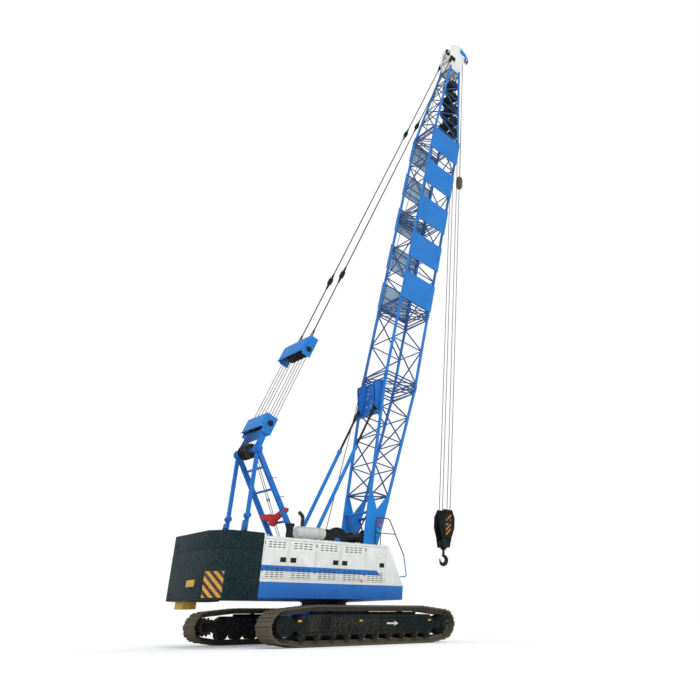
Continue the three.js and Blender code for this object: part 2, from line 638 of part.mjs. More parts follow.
function footPlate() {
  const end = 3150;
  const h = halfDepth(end);
  const chord = BOOM.chord;
  return [...arc(0, 0, BOOM.eye, 90, 270, 10), [1400, -290], [BOOM.footFrom, -BOOM.footDepth - chord],
    [end, -h - chord], [end, -h + chord], [2560, 0], [end, h - chord], [end, h + chord],
    [BOOM.footFrom, BOOM.footDepth + chord], [1400, 290]];
}

function boomFoot() {
  const parts = [];
  const bore = hole(BOOM.pin, -BOOM.angle);
  for (const side of [-1, 1]) {
    const y = side * BOOM.half;
    parts.push(slab(footPlate(), y - BOOM.plate / 2, y + BOOM.plate / 2, [bore]));
  }
  parts.push(chords(BOOM.footFrom + 60, jointA - 120));
  parts.push([[-1, -1], [-1, 1], [1, -1], [1, 1]].map(([sy, sz]) =>
    rod([jointA - 150, sy * BOOM.half, sz * BOOM.depth],
    [jointA - SEAT / 2, sy * BOOM.half, sz * BOOM.depth], BOOM.chord, 6)));
  for (const [s, z, r] of [[900, 0, 70], [GUIDE.s, GUIDE.z, 45], [2420, 290, 48], [2420, -290, 48]]) {
    parts.push(pinY(s, z, r, -BOOM.half, BOOM.half, s === GUIDE.s ? ROUND : 8));
  }
  parts.push(endFrame(3130), endFrame(jointA - 90), lacing(3130, jointA - 90, 4));
  parts.push(stopBracket());
  return join(parts.flat());
}

// Bracket across the rear face that takes the backstop rods, with an ear on each side of each rod.
const EAR = { gap: 62, thick: 16, stub: 22 };
function stopBracket() {
  const { pinS, pinN, y } = BACKSTOP;
  const parts = [];
  const top = -pinN;
  const low = halfDepth(pinS);
  for (const s of [6080, 7330]) {
    parts.push(rod(corner(s, -1, 1), corner(s, 1, 1), 42, 6));
  }
  const plateAt = halfDepth(6700);
  const holes = [6420, 6720, 7020].flatMap((s) => [-250, 0, 250].map((py) => rod([s, py, plateAt - 90],
    [s, py, plateAt + 90], 62, 6)));
  const halfPlate = y - EAR.gap + 4;
  const slope = (halfDepth(7330) - halfDepth(6080)) / 1250;
  const at = (s) => plateAt + (s - 6705) * slope;
  parts.push(cut(slab([[6080, at(6080) - 12], [7330, at(7330) - 12], [7330, at(7330) + 12],
    [6080, at(6080) + 12]],
    -halfPlate, halfPlate), holes));
  for (const side of [-1, 1]) {
    for (const face of [-1, 1]) {
      const earY = side * y + face * EAR.gap;
      parts.push(slab([[6060, at(6060) - 30], [7350, at(7350) - 30], [7350, at(7350) + 70], [7180, 1000],
        [7060, 1000],
        [6480, top + 70], [6290, top + 70], [6180, low + 60]], earY - EAR.thick / 2, earY + EAR.thick / 2));
      parts.push(pinY(pinS, top, 40, Math.min(earY, earY - face * EAR.stub),
        Math.max(earY, earY - face * EAR.stub),
        8));
    }
  }
  return join(parts);
}

function boomTip() {
  const past = 2 * Math.max(BOOM.half, BOOM.depth);
  const { headFrom } = BOOM;
  const { sheaveS, sheaveN, plate, stayS, stayN, stayY } = HEAD;
  const z = -sheaveN;
  const outline = [[24760, -280], [25450, -330], [25800, z - 170], [26180, z - 250], [26420, z - 120],
    [26470, 60],
    [26200, 440], [25900, 450], [25300, 430], [24760, 290]];
  const parts = [chords(tipFrom - 20, headFrom), endFrame(tipFrom + 90), lacing(tipFrom + 90, 24700, 5),
    endFrame(24700)];
  for (const side of [-1, 1]) {
    const y = side * BOOM.headHalf;
    parts.push(slab(outline, y - plate / 2, y + plate / 2, [arc(25300, 60, 120, 0, 315, 7)]));
    const lugY = side * stayY;
    parts.push(slab([[stayS - 100, -stayN - 230], [stayS + 100, -stayN - 230],
      ...arc(stayS, -stayN, 85, 0, 180, 8)],
      lugY - 12, lugY + 12));
    parts.push(box([stayS - 90, stayS + 90], yRange(side, BOOM.headHalf, stayY),
      [-stayN - 220, -stayN - 120]));
  }
  parts.push(pinY(sheaveS, z, 45, -BOOM.headHalf, BOOM.headHalf, ROUND, BOOM.angle - FACET / 2));
  parts.push(pinY(26080, 330, 50, -BOOM.headHalf, BOOM.headHalf, 8));
  parts.push(pinY(25480, 330, 50, -BOOM.headHalf, BOOM.headHalf, 8));
  parts.push(pinY(25500, -120, 50, -BOOM.headHalf, BOOM.headHalf, 8));
  return cut(join(parts.flat()), box([tipFrom - 300, tipFrom + SEAT / 2], [-past, past], [-past, past]));
}

piece('boom_foot_section', boomFoot(), 'blue', boom);
piece('boom_insert_1', boomInsert(jointA, jointB, 2), 'blue', boom);
piece('boom_insert_2', boomInsert(jointB, jointC, 3), 'blue', boom);
piece('boom_insert_3', boomInsert(jointC, tipFrom, 3), 'blue', boom);
piece('boom_tip_section', boomTip(), 'blue', boom);

const guidePivot = unit('boom_guide_pivot', GUIDE.s, 0, GUIDE.z, 0, boom);
piece('boom_guide_drum', drum({ flange: GUIDE.radius, core: GUIDE.radius - 80, half: GUIDE.half },
  boreOf(45)),
  'iron', guidePivot);

// Boards hang on two rails that lie against the side chords.
const chordReach = BOOM.chord * Math.cos(Math.PI / 6);
const BOARDS = { from: 10980, pitch: 1985, long: 1240, count: 5, thick: 14, rail: 30 };
function boards(side) {
  const face = BOOM.half + chordReach + SEAT;
  const { from, pitch, long, count, thick, rail } = BOARDS;
  const end = Math.min(from + (count - 1) * pitch + long, tipFrom);
  const half = BOOM.depth + BOOM.chord;
  const parts = [-1, 1].map((row) => box([from, end], yRange(side, face, face + rail),
    [row * (half - 90) - 25, row * (half - 90) + 25]));
  for (let i = 0; i < count; i += 1) {
    const s = from + i * pitch;
    parts.push(box([s, Math.min(s + long, end)], yRange(side, face + rail - 2, face + rail + thick),
      [-half, half]));
  }
  return join(parts);
}
for (const [name, side] of SIDES) {
  piece(`${name}_boards`, boards(side), 'blue', boom);
}

const fallGroove = ROPE.pitch - ROPE.hoist - SEAT;
const tipPivot = unit('tip_sheave_pivot', HEAD.sheaveS, 0, -HEAD.sheaveN, -BOOM.angle, boom);
piece('tip_sheaves', sheaves(2, HEAD.sheave, 2 * ROPE.spread, boreOf(45), fallGroove, 0), 'iron', tipPivot);

// ---------------------------------------------------------------- boom hoist stay
// A point of the boom, given along it and towards its rear face, in the upper structure's frame.
function boomPoint(s, z) {
  const a = rad(BOOM.angle);
  return [BOOM.footX + s * Math.cos(a) - z * Math.sin(a), BOOM.footZ + s * Math.sin(a) + z * Math.cos(a)];
}
const [attachX, attachZ] = boomPoint(HEAD.stayS, -HEAD.stayN);
const stayLength = Math.hypot(attachX - GANTRY.x, attachZ - GANTRY.z);
const stayAngle = THREE.MathUtils.radToDeg(Math.atan2(attachZ - GANTRY.z, attachX - GANTRY.x));
const blockSheave = { radius: 210, pitch: 240, shaft: 50 };

// Drawn about the gantry pin: X runs along the stay.
const block = unit('gantry_block_pivot', GANTRY.x, 0, GANTRY.z, stayAngle, upper);

function gantryBlock() {
  const { blockFrom, blockTo, blockHalf } = STAY;
  const linkY = GANTRY.half - GANTRY.leg - RUNNING - 26;
  const shaftX = blockTo - 260;
  const parts = [box([blockFrom, blockFrom + 70], [-blockHalf, blockHalf], [-150, 150])];
  const eye = hole(60, -stayAngle);
  for (const side of [-1, 1]) {
    parts.push(box([blockFrom, blockTo], yRange(side, blockHalf - 34, blockHalf), [-170, 170]));
    const outline = [...arc(0, 0, 115, 90, 270, 8), [blockFrom + 60, -90], [blockFrom + 60, 90]];
    const [y0, y1] = yRange(side, linkY, linkY + 26);
    parts.push(slab(outline, y0, y1, [eye]));
  }
  parts.push(pinY(shaftX, 0, blockSheave.shaft, -blockHalf, blockHalf));
  return join(parts);
}
piece('gantry_block', gantryBlock(), 'iron', block);
const blockSheavePivot = unit('block_sheave_pivot', STAY.blockTo - 260, 0, 0, 0, block);
piece('block_sheaves', sheaves(4, blockSheave.radius, blockSheave.pitch, boreOf(blockSheave.shaft)), 'iron',
  blockSheavePivot);

const bridle = unit('bridle_pivot', 0, 0, 0, 0, block);
const lugTo = STAY.link + 80;
function bridleFrame() {
  const { bridleFrom, bridleTo, bridleHalf } = STAY;
  const parts = [box([bridleTo - 80, bridleTo], [-bridleHalf, bridleHalf], [-140, 140])];
  for (const side of [-1, 1]) {
    parts.push(box([bridleFrom, bridleTo], yRange(side, bridleHalf - 36, bridleHalf), [-160, 160]));
    const y = side * HEAD.stayY;
    parts.push(slab([[bridleTo - 20, -110], [lugTo, -55], [lugTo, 55], [bridleTo - 20, 110]], y - 20,
      y + 20));
  }
  parts.push(pinY(bridleFrom + 260, 0, blockSheave.shaft, -bridleHalf, bridleHalf));
  return join(parts);
}
piece('bridle', bridleFrame(), 'iron', bridle);
const bridleSheavePivot = unit('bridle_sheave_pivot', STAY.bridleFrom + 260, 0, 0, 0, bridle);
piece('bridle_sheaves', sheaves(4, blockSheave.radius, blockSheave.pitch, boreOf(blockSheave.shaft)), 'iron',
  bridleSheavePivot);

// Each pendant ends in a fork that straddles its lug on the boom head.
const FORK = { root: 330, gap: 12 + SEAT, thick: 16 };
function pendant(side) {
  const y = side * HEAD.stayY;
  const start = lugTo + SEAT;
  const rootX = stayLength - FORK.root;
  const parts = [
    rod([start, y, 0], [start + 330, y, 0], 52),
    rod([start + 300, y, 0], [rootX - 200, y, 0], STAY.rope, 6),
    rod([rootX - 260, y, 0], [rootX, y, 0], 52),
    box([rootX - 30, rootX + 30], [y - FORK.gap - FORK.thick, y + FORK.gap + FORK.thick], [-60, 60]),
  ];
  for (const at of STAY.plates) {
    parts.push(rod([at - 330, y, 0], [at - 120, y, 0], 50, 6));
    parts.push(box([at - 160, at + 160], [y - 22, y + 22], [-75, 75]));
    parts.push(rod([at + 120, y, 0], [at + 330, y, 0], 50, 6));
  }
  for (const face of [-1, 1]) {
    const [y0, y1] = [y + face * FORK.gap, y + face * (FORK.gap + FORK.thick)].sort((a, b) => a - b);
    parts.push(slab([[rootX, -60], [stayLength, -75], ...arc(stayLength, 0, 75, -75, 75, 6), [rootX, 60]],
      y0, y1));
  }
  return join(parts);
}
for (const [name, side] of SIDES) {
  piece(`${name}_pendant`, pendant(side), 'rope', bridle);
}

// ---------------------------------------------------------------- boom backstops
const [stopX, stopZ] = boomPoint(BACKSTOP.pinS, -BACKSTOP.pinN);
const stopLength = Math.hypot(stopX - BACKSTOP.baseX, stopZ - BACKSTOP.baseZ);
const stopAngle = THREE.MathUtils.radToDeg(Math.atan2(stopZ - BACKSTOP.baseZ, stopX - BACKSTOP.baseX));
const rodBore = BACKSTOP.rod + SEAT;

for (const [name, side] of SIDES) {
  const { baseX, baseZ, y, tube, rod: rodRadius, tubeLong } = BACKSTOP;
  const base = unit(`${name}_backstop_pivot`, baseX, side * y, baseZ, stopAngle, upper);
  const eye = slab([...arc(0, 0, 75, 90, 270, 8), [150, -60], [150, 60]], -tube, tube,
    [hole(38, -stopAngle)]);
  const outer = rod([120, 0, 0], [tubeLong, 0, 0], tube, 16);
  const collar = rod([tubeLong - 130, 0, 0], [tubeLong, 0, 0], tube + 12, 16);
  const bore = rod([700, 0, 0], [tubeLong + 20, 0, 0], rodBore, 16);
  piece(`${name}_backstop_tube`, cut(join(eye, outer, collar), bore), 'blue', base);
  const slide = unit(`${name}_backstop_slide`, 0, 0, 0, 0, base);
  piece(`${name}_backstop_rod`, join(
    rod([2500, 0, 0], [stopLength - 60, 0, 0], rodRadius, 16),
    rod([stopLength - 520, 0, 0], [stopLength - 130, 0, 0], 74, 12),
    pinY(stopLength, 0, 72, -30, 30, 12),
    box([stopLength - 150, stopLength - 30], [-30, 30], [-45, 45]),
  ), 'dark', slide);
}

// ---------------------------------------------------------------- falls and hook
// The falls hang plumb from the tip sheaves, whatever the boom's angle.
const falls = unit('falls_pivot', HEAD.sheaveS, 0, -HEAD.sheaveN, -BOOM.angle, boom);
const [, tipZ] = boomPoint(HEAD.sheaveS, -HEAD.sheaveN);
const hookDrop = HOOK.sheaveZ - tipZ;

// One rope goes down, round a block sheave and up again; its bend is a polygon drawn about the circle.
function fallLoop(side) {
  const y = side * ROPE.spread;
  const steps = 8;
  const step = 180 / steps;
  const bend = Array.from({ length: steps }, (_, i) => {
    const a = rad(-(i + 0.5) * step);
    const r = ROPE.pitch / Math.cos(rad(step / 2));
    return [r * Math.cos(a), y, hookDrop + r * Math.sin(a)];
  });
  const path = [[ROPE.pitch, y, 0], ...bend, [-ROPE.pitch, y, 0]];
  return join(path.slice(1).map((point, i) => {
    const a = new THREE.Vector3(...path[i]);
    const b = new THREE.Vector3(...point);
    const run = b.clone().sub(a).normalize().multiplyScalar(i === 0 || i === path.length - 2 ? 0 : 2);
    return rod(a.sub(run).toArray(), b.add(run).toArray(), ROPE.hoist, 4);
  }));
}
for (const [name, side] of SIDES) {
  piece(`${name}_hoist_falls`, fallLoop(side), 'rope', falls);
}

const LIMIT = { low: 19880, high: 20530, radius: 80 };
const limitWeight = cut(
  rod([ROPE.pitch, -ROPE.spread, LIMIT.low - tipZ], [ROPE.pitch, -ROPE.spread, LIMIT.high - tipZ],
    LIMIT.radius, 16),
  rod([ROPE.pitch, -ROPE.spread, LIMIT.low - tipZ - 20], [ROPE.pitch, -ROPE.spread, LIMIT.high - tipZ + 20],
    ROPE.hoist + 0.7, 16),
);
piece('hoist_limit_weight', limitWeight, 'dark', falls);

const hookBlock = unit('hook_block_pivot', 0, 0, hookDrop, 0, falls);
const HOOK_PLATE = { gap: 165, thick: 26, cheek: 60, low: HOOK.blockLow - HOOK.sheaveZ,
  high: HOOK.blockTop - HOOK.sheaveZ, shaft: 45, shank: 48 };

function hookBlockFrame() {
  const { gap, thick, cheek, low, high, shaft, shank } = HOOK_PLATE;
  const outline = [[-220, high], [-370, 160], [-370, -260], [-230, -640], [-160, low], [160, low],
    [230, -640],
    [370, -260], [370, 160], [220, high]];
  const inner = outline.map(([x, z]) => [x * 0.86, z * 0.62]);
  const parts = [];
  for (const side of [-1, 1]) {
    parts.push(slab(outline, ...yRange(side, gap, gap + thick)));
    parts.push(slab(inner, ...yRange(side, gap + thick - 2, gap + thick + cheek)));
  }
  parts.push(pinY(0, 0, shaft, -gap - thick, gap + thick, ROUND, FACET / 2));
  parts.push(pinY(0, high - 70, 28, -gap - thick, gap + thick, 10));
  parts.push(box([-160, 160], [-gap - thick, gap + thick], [low, low + 280]));
  return cut(join(parts), rod([0, 0, low - 20], [0, 0, low + 190], boreOf(shank), ROUND));
}
piece('hook_block', hookBlockFrame(), 'dark', hookBlock);
const hookSheavePivot = unit('hook_sheave_pivot', 0, 0, 0, 0, hookBlock);
piece('hook_sheaves', sheaves(2, HEAD.sheave, 2 * ROPE.spread, boreOf(HOOK_PLATE.shaft), fallGroove, 0),
  'iron', hookSheavePivot);

const hookUnit = unit('hook_pivot', 0, 0, HOOK_PLATE.low, 0, hookBlock);
function hook() {
  const outer = 230;
  const inner = 125;
  const centre = HOOK.bottomZ - HOOK.sheaveZ - HOOK_PLATE.low + outer;
  const outline = [...arc(0, centre, outer, 80, 380, 15), ...arc(0, centre, inner, 380, 80, 15)];
  return join(slab(outline, -42, 42), rod([0, 0, centre + inner + 10], [0, 0, 190 - SEAT],
    HOOK_PLATE.shank, ROUND),
    rod([0, 0, -90], [0, 0, -SEAT], 80, 16));
}
piece('hook', hook(), 'yellow', hookUnit);

// ---------------------------------------------------------------- placing
// The finished crane stands on Z 0, with its box centred on the origin.
const whole = new THREE.Box3().setFromObject(crane, true);
const centre = whole.getCenter(new THREE.Vector3());
crane.position.set(-centre.x, -centre.y, -whole.min.z);

export default crane;
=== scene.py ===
"""Crawler crane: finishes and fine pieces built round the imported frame."""
import json
import math

import bmesh
import bpy
from bpy.props import FloatProperty, FloatVectorProperty, IntProperty, PointerProperty
from mathutils import Matrix, Vector

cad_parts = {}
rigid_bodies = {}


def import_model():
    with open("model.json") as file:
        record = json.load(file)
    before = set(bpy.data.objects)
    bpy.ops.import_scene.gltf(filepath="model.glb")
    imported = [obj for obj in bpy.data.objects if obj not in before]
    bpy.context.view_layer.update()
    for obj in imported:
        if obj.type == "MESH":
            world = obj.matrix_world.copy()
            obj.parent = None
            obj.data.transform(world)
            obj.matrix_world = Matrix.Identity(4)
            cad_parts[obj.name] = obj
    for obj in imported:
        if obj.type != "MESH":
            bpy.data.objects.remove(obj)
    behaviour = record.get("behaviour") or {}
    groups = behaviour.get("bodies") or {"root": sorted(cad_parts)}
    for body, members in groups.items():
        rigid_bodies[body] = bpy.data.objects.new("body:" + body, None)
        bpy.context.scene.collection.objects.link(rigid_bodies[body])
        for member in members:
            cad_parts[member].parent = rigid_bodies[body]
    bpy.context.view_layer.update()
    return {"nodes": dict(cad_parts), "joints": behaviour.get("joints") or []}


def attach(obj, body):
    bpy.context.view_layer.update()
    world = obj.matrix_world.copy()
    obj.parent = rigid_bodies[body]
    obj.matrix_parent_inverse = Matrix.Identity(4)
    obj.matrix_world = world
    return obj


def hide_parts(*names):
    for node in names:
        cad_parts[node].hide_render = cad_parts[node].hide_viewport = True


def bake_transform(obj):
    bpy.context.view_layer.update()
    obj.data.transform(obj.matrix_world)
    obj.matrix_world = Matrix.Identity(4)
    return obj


bl_info = {
    "name": "Crawler crane",
    "version": (1, 0, 0),
    "blender": (4, 5, 0),
    "location": "View3D > Sidebar > Crane",
    "description": "Builds the finished look of a lattice-boom crawler crane round its frame",
    "category": "Object",
}

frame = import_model()
JOINTS = {joint["name"]: joint for joint in frame["joints"]}
SLEW_X = JOINTS["upper_slew"]["pos_m"][0]
FOOT = Vector(JOINTS["boom_luff"]["pos_m"])
MATERIALS = {}


# ------------------------------------------------------------------ settings
def length(name, description, default):
    return FloatProperty(name=name, description=description, default=default, unit="LENGTH",
                         subtype="DISTANCE")


def colour(name, description, default):
    return FloatVectorProperty(name=name, description=description, default=default, size=4, min=0, max=1,
                               subtype="COLOR")


class CranePaint(bpy.types.PropertyGroup):
    ivory: colour("Ivory", "House and cab paint", (0.80, 0.83, 0.79, 1))
    teal: colour("Teal", "Counterweight paint", (0.002, 0.021, 0.028, 1))
    blue: colour("Blue", "Skirt, band and steelwork paint", (0.0, 0.155, 0.56, 1))
    boom_blue: colour("Boom blue", "Brighter paint of the boom chords", (0.0, 0.195, 0.62, 1))
    cream: colour("Cream", "Boom head paint", (0.87, 0.88, 0.85, 1))
    dark: colour("Dark", "Crawler frames and hook block", (0.006, 0.013, 0.013, 1))
    mud: colour("Mud", "Dried mud on shoes and frames", (0.115, 0.098, 0.066, 1))
    rope: colour("Rope", "Greased wire rope", (0.07, 0.068, 0.062, 1))


class CraneSizes(bpy.types.PropertyGroup):
    chord: length("Boom chord radius", "Radius of the boom's corner tubes", 0.057)
    lace: length("Lacing radius", "Radius of the boom's lacing tubes", 0.027)
    hoist_rope: length("Hoist rope radius", "Radius of the hook's rope", 0.013)
    luff_rope: length("Boom hoist rope radius", "Radius of the boom hoist rope", 0.010)
    shoes: IntProperty(name="Shoes", description="Shoes in one track", default=60, min=20)


# ------------------------------------------------------------------ modelling helpers
def deselect():
    if bpy.context.object and bpy.context.object.mode != "OBJECT":
        bpy.ops.object.mode_set(mode="OBJECT")
    bpy.ops.object.select_all(action="DESELECT")


def begin(name):
    """An empty piece at the origin, open in edit mode: each primitive added next becomes part of it."""
    deselect()
    piece = bpy.data.objects.new(name, bpy.data.meshes.new(name))
    bpy.context.scene.collection.objects.link(piece)
    bpy.context.view_layer.objects.active = piece
    piece.select_set(True)
    bpy.ops.object.mode_set(mode="EDIT")
    return piece


def block(x, y, z, turn=(0, 0, 0)):
    """A box between the pairs x, y and z, turned about its own centre."""
    spans = (x, y, z)
    bpy.ops.mesh.primitive_cube_add(size=1, location=[sum(s) / 2 for s in spans], rotation=turn,
                                    scale=[abs(s[1] - s[0]) for s in spans])


def bar(a, b, wide, deep):
    """A flat bar from a to b; its width lies across the crane."""
    a, b = Vector(a), Vector(b)
    run = b - a
    turn = Matrix((run.normalized(), *side_axes(run))).transposed().to_euler()
    bpy.ops.mesh.primitive_cube_add(size=1, location=(a + b) / 2, rotation=turn,
                                    scale=(run.length, wide, deep))


def side_axes(run):
    across = Vector((0, 1, 0)) if abs(run.normalized().y) < 0.9 else Vector((1, 0, 0))
    up = run.cross(across).normalized()
    return up.cross(run).normalized(), up


def tube(a, b, radius, sides=12, end_radius=None):
    """A round bar from a to b, or a cone where the radius at b differs."""
    a, b = Vector(a), Vector(b)
    turn = (b - a).to_track_quat("Z", "Y").to_euler()
    place = dict(vertices=sides, depth=(b - a).length, location=(a + b) / 2, rotation=turn)
    if end_radius is None:
        bpy.ops.mesh.primitive_cylinder_add(radius=radius, **place)
    else:
        bpy.ops.mesh.primitive_cone_add(radius1=radius, radius2=end_radius, **place)


def path(points, radius, sides=8, ball=True):
    """Round bars through the points, with a ball at each bend."""
    for a, b in zip(points, points[1:]):
        tube(a, b, radius, sides)
    if ball:
        for point in points[1:-1]:
            bpy.ops.mesh.primitive_uv_sphere_add(segments=sides, ring_count=6, radius=radius,
                                                 location=point)


def outline(points, thick):
    """A flat plate: its outline is a closed ring of corners, pushed through by the vector thick."""
    bpy.ops.mesh.primitive_circle_add(vertices=len(points), radius=1, fill_type="NGON")
    form = bmesh.from_edit_mesh(bpy.context.object.data)
    corners = [v for v in form.verts if v.select]
    for corner, point in zip(corners, points):
        corner.co = Vector(point)
    bmesh.update_edit_mesh(bpy.context.object.data)
    bpy.ops.mesh.extrude_region_move(TRANSFORM_OT_translate={"value": thick})
    bpy.ops.mesh.select_linked()
    bpy.ops.mesh.normals_make_consistent(inside=False)


def turned(profile, centre, axis=(0, 1, 0), steps=40):
    """A turned part: the profile's corners are (radius, along axis), and it closes on itself."""
    axis, centre = Vector(axis).normalized(), Vector(centre)
    out, _ = side_axes(axis) if abs(axis.y) < 0.9 else (Vector((1, 0, 0)), None)
    bpy.ops.mesh.primitive_circle_add(vertices=len(profile), radius=1, fill_type="NOTHING")
    form = bmesh.from_edit_mesh(bpy.context.object.data)
    corners = [v for v in form.verts if v.select]
    for corner, (radius, along) in zip(corners, profile):
        corner.co = centre + out * radius + axis * along
    bmesh.update_edit_mesh(bpy.context.object.data)
    bpy.ops.mesh.spin(steps=steps, angle=math.tau, center=centre, axis=axis)
    bpy.ops.mesh.select_linked()
    bpy.ops.mesh.remove_doubles(threshold=0.0002)
    bpy.ops.mesh.select_linked()
    bpy.ops.mesh.normals_make_consistent(inside=False)


def done(body, material, bevel=0.0, angle=32, replaces=(), piece=None):
    """Closes a piece: edges rounded by a bevel modifier, shaded, painted and put on its body, or, where body
    is (body, body, start, end), baked in place and put on no body. The active object is the piece unless one
    is given."""
    piece = piece or bpy.context.object
    bpy.ops.object.mode_set(mode="OBJECT")
    if bevel:
        modifier = piece.modifiers.new("Edges", "BEVEL")
        modifier.width = bevel
        modifier.segments = 2
        modifier.limit_method = "ANGLE"
        modifier.angle_limit = math.radians(40)
        modifier.use_clamp_overlap = True
        bpy.ops.object.modifier_apply(modifier=modifier.name)
    bpy.ops.object.shade_smooth_by_angle(angle=math.radians(angle))
    piece.data.materials.clear()
    piece.data.materials.append(MATERIALS[material])
    if isinstance(body, str):
        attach(piece, body)
    else:
        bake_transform(piece)
    if replaces:
        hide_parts(*replaces)
    return piece


def softened(node, body, material, width, name=None):
    """A copy of a frame node with clean faces and rounded edges, which stands for the node."""
    source = frame["nodes"][node]
    deselect()
    piece = source.copy()
    piece.data = source.data.copy()
    piece.name = piece.data.name = name or node + "_finish"
    piece.parent = None
    piece.matrix_world = Matrix.Identity(4)
    bpy.context.scene.collection.objects.link(piece)
    bpy.context.view_layer.objects.active = piece
    piece.select_set(True)
    bpy.ops.object.mode_set(mode="EDIT")
    bpy.ops.mesh.select_all(action="SELECT")
    bpy.ops.mesh.remove_doubles(threshold=0.00005)
    bpy.ops.mesh.dissolve_limited(angle_limit=math.radians(1.0))
    return done(body, material, bevel=width, replaces=(node,), piece=piece)


def paint(node, material):
    """A frame node that stays as it is, with a finish of its own."""
    slots = frame["nodes"][node].data.materials
    slots.clear()
    slots.append(MATERIALS[material])


def at(x, y, z):
    """A point given from the slewing axis."""
    return Vector((SLEW_X + x, y, z))


def boom_at(s, y, z, degrees=81.69):
    """A point of the boom: s along it from the foot pin, z towards its rear face."""
    a = math.radians(degrees)
    return FOOT + Vector((s * math.cos(a) - z * math.sin(a), y, s * math.sin(a) + z * math.cos(a)))


# ------------------------------------------------------------------ shared shader groups
def group(name, inputs, outputs):
    tree = bpy.data.node_groups.new(name, "ShaderNodeTree")
    for label, kind, default in inputs:
        socket = tree.interface.new_socket(label, in_out="INPUT", socket_type=kind)
        socket.default_value = default
    for label, kind in outputs:
        tree.interface.new_socket(label, in_out="OUTPUT", socket_type=kind)
    return tree, tree.nodes.new("NodeGroupInput").outputs, tree.nodes.new("NodeGroupOutput").inputs


def put(tree, kind, values=(), links=(), **settings):
    """A node with its settings, its input values by name or number, and its input links."""
    node = tree.nodes.new(kind)
    for key, value in settings.items():
        setattr(node, key, value)
    for key, value in dict(values).items():
        node.inputs[key].default_value = value
    for key, source in dict(links).items():
        tree.links.new(source, node.inputs[key])
    return node


def maths(tree, operation, a, b=None, clamp=False):
    node = tree.nodes.new("ShaderNodeMath")
    node.operation, node.use_clamp = operation, clamp
    for socket, value in zip(node.inputs, (a, b)):
        if isinstance(value, (int, float)):
            socket.default_value = value
        elif value is not None:
            tree.links.new(value, socket)
    return node.outputs[0]


def mixed(tree, factor, a, b):
    """A colour mix whose factor, first and second colour are sockets or values."""
    node = tree.nodes.new("ShaderNodeMix")
    node.data_type = "RGBA"
    for index, value in ((0, factor), (6, a), (7, b)):
        if isinstance(value, (int, float, tuple)):
            node.inputs[index].default_value = value
        else:
            tree.links.new(value, node.inputs[index])
    return node.outputs[2]


def noise(tree, scale, detail, stretch=(1, 1, 1), roughness=0.6):
    coords = tree.nodes.new("ShaderNodeTexCoord").outputs["Object"]
    mapping = put(tree, "ShaderNodeMapping", {"Scale": stretch}, {"Vector": coords})
    return put(tree, "ShaderNodeTexNoise", {"Scale": scale, "Detail": detail, "Roughness": roughness},
               {"Vector": mapping.outputs[0]}).outputs["Fac"]


def ramp(tree, value, low, high, to_low=0.0, to_high=1.0):
    return put(tree, "ShaderNodeMapRange",
               {"From Min": low, "From Max": high, "To Min": to_low, "To Max": to_high},
               {"Value": value}, clamp=True).outputs[0]


def object_axes(tree):
    coords = tree.nodes.new("ShaderNodeTexCoord").outputs["Object"]
    return put(tree, "ShaderNodeSeparateXYZ", links={0: coords}).outputs


def height_of(tree):
    return object_axes(tree)["Z"]


def build_grime():
    """Dust and splashed mud, thick below and in streaks, with faint sun-fading of the paint."""
    tree, given, out = group("Grime", [("Color", "NodeSocketColor", (0.5, 0.5, 0.5, 1)),
                                       ("Dirt", "NodeSocketColor", (0.2, 0.13, 0.08, 1)),
                                       ("Amount", "NodeSocketFloat", 0.3),
                                       ("Mud Line", "NodeSocketFloat", 1.0)],
                             [("Color", "NodeSocketColor"), ("Mask", "NodeSocketFloat")])
    cloud = noise(tree, 1.7, 6)
    streak = noise(tree, 2.2, 5, (3.5, 3.5, 0.22))
    fine = noise(tree, 38, 4)
    low = ramp(tree, maths(tree, "DIVIDE", height_of(tree), given["Mud Line"]), 0.1, 1.3, 1.0, 0.0)
    dust = maths(tree, "MULTIPLY", ramp(tree, maths(tree, "ADD", cloud, streak), 0.92, 1.35),
                 given["Amount"])
    splash = maths(tree, "MULTIPLY", low, ramp(tree, maths(tree, "ADD", cloud, fine), 0.75, 1.15))
    mask = maths(tree, "MAXIMUM", dust, splash, clamp=True)
    faded = put(tree, "ShaderNodeHueSaturation", {"Saturation": 0.97},
                {"Color": given["Color"], "Value": ramp(tree, cloud, 0.3, 0.75, 0.92, 1.10)}).outputs[0]
    tree.links.new(mixed(tree, mask, faded, given["Dirt"]), out["Color"])
    tree.links.new(mask, out["Mask"])
    return tree


def build_wear():
    """Paint rubbed off edges and chipped in spots, down to dull steel and rust."""
    tree, given, out = group("Edge wear", [("Color", "NodeSocketColor", (0.5, 0.5, 0.5, 1)),
                                           ("Amount", "NodeSocketFloat", 0.4)],
                             [("Color", "NodeSocketColor"), ("Mask", "NodeSocketFloat")])
    edge = tree.nodes.new("ShaderNodeNewGeometry").outputs["Pointiness"]
    break_up = noise(tree, 17, 8)
    spots = ramp(tree, noise(tree, 9, 10, roughness=0.72), 0.73, 0.76)
    rubbed = maths(tree, "MULTIPLY", ramp(tree, edge, 0.53, 0.60), ramp(tree, break_up, 0.42, 0.60))
    mask = maths(tree, "MULTIPLY", maths(tree, "MAXIMUM", rubbed, spots), given["Amount"], clamp=True)
    bare = mixed(tree, ramp(tree, break_up, 0.4, 0.6), (0.20, 0.085, 0.035, 1), (0.16, 0.15, 0.14, 1))
    tree.links.new(mixed(tree, mask, given["Color"], bare), out["Color"])
    tree.links.new(mask, out["Mask"])
    return tree


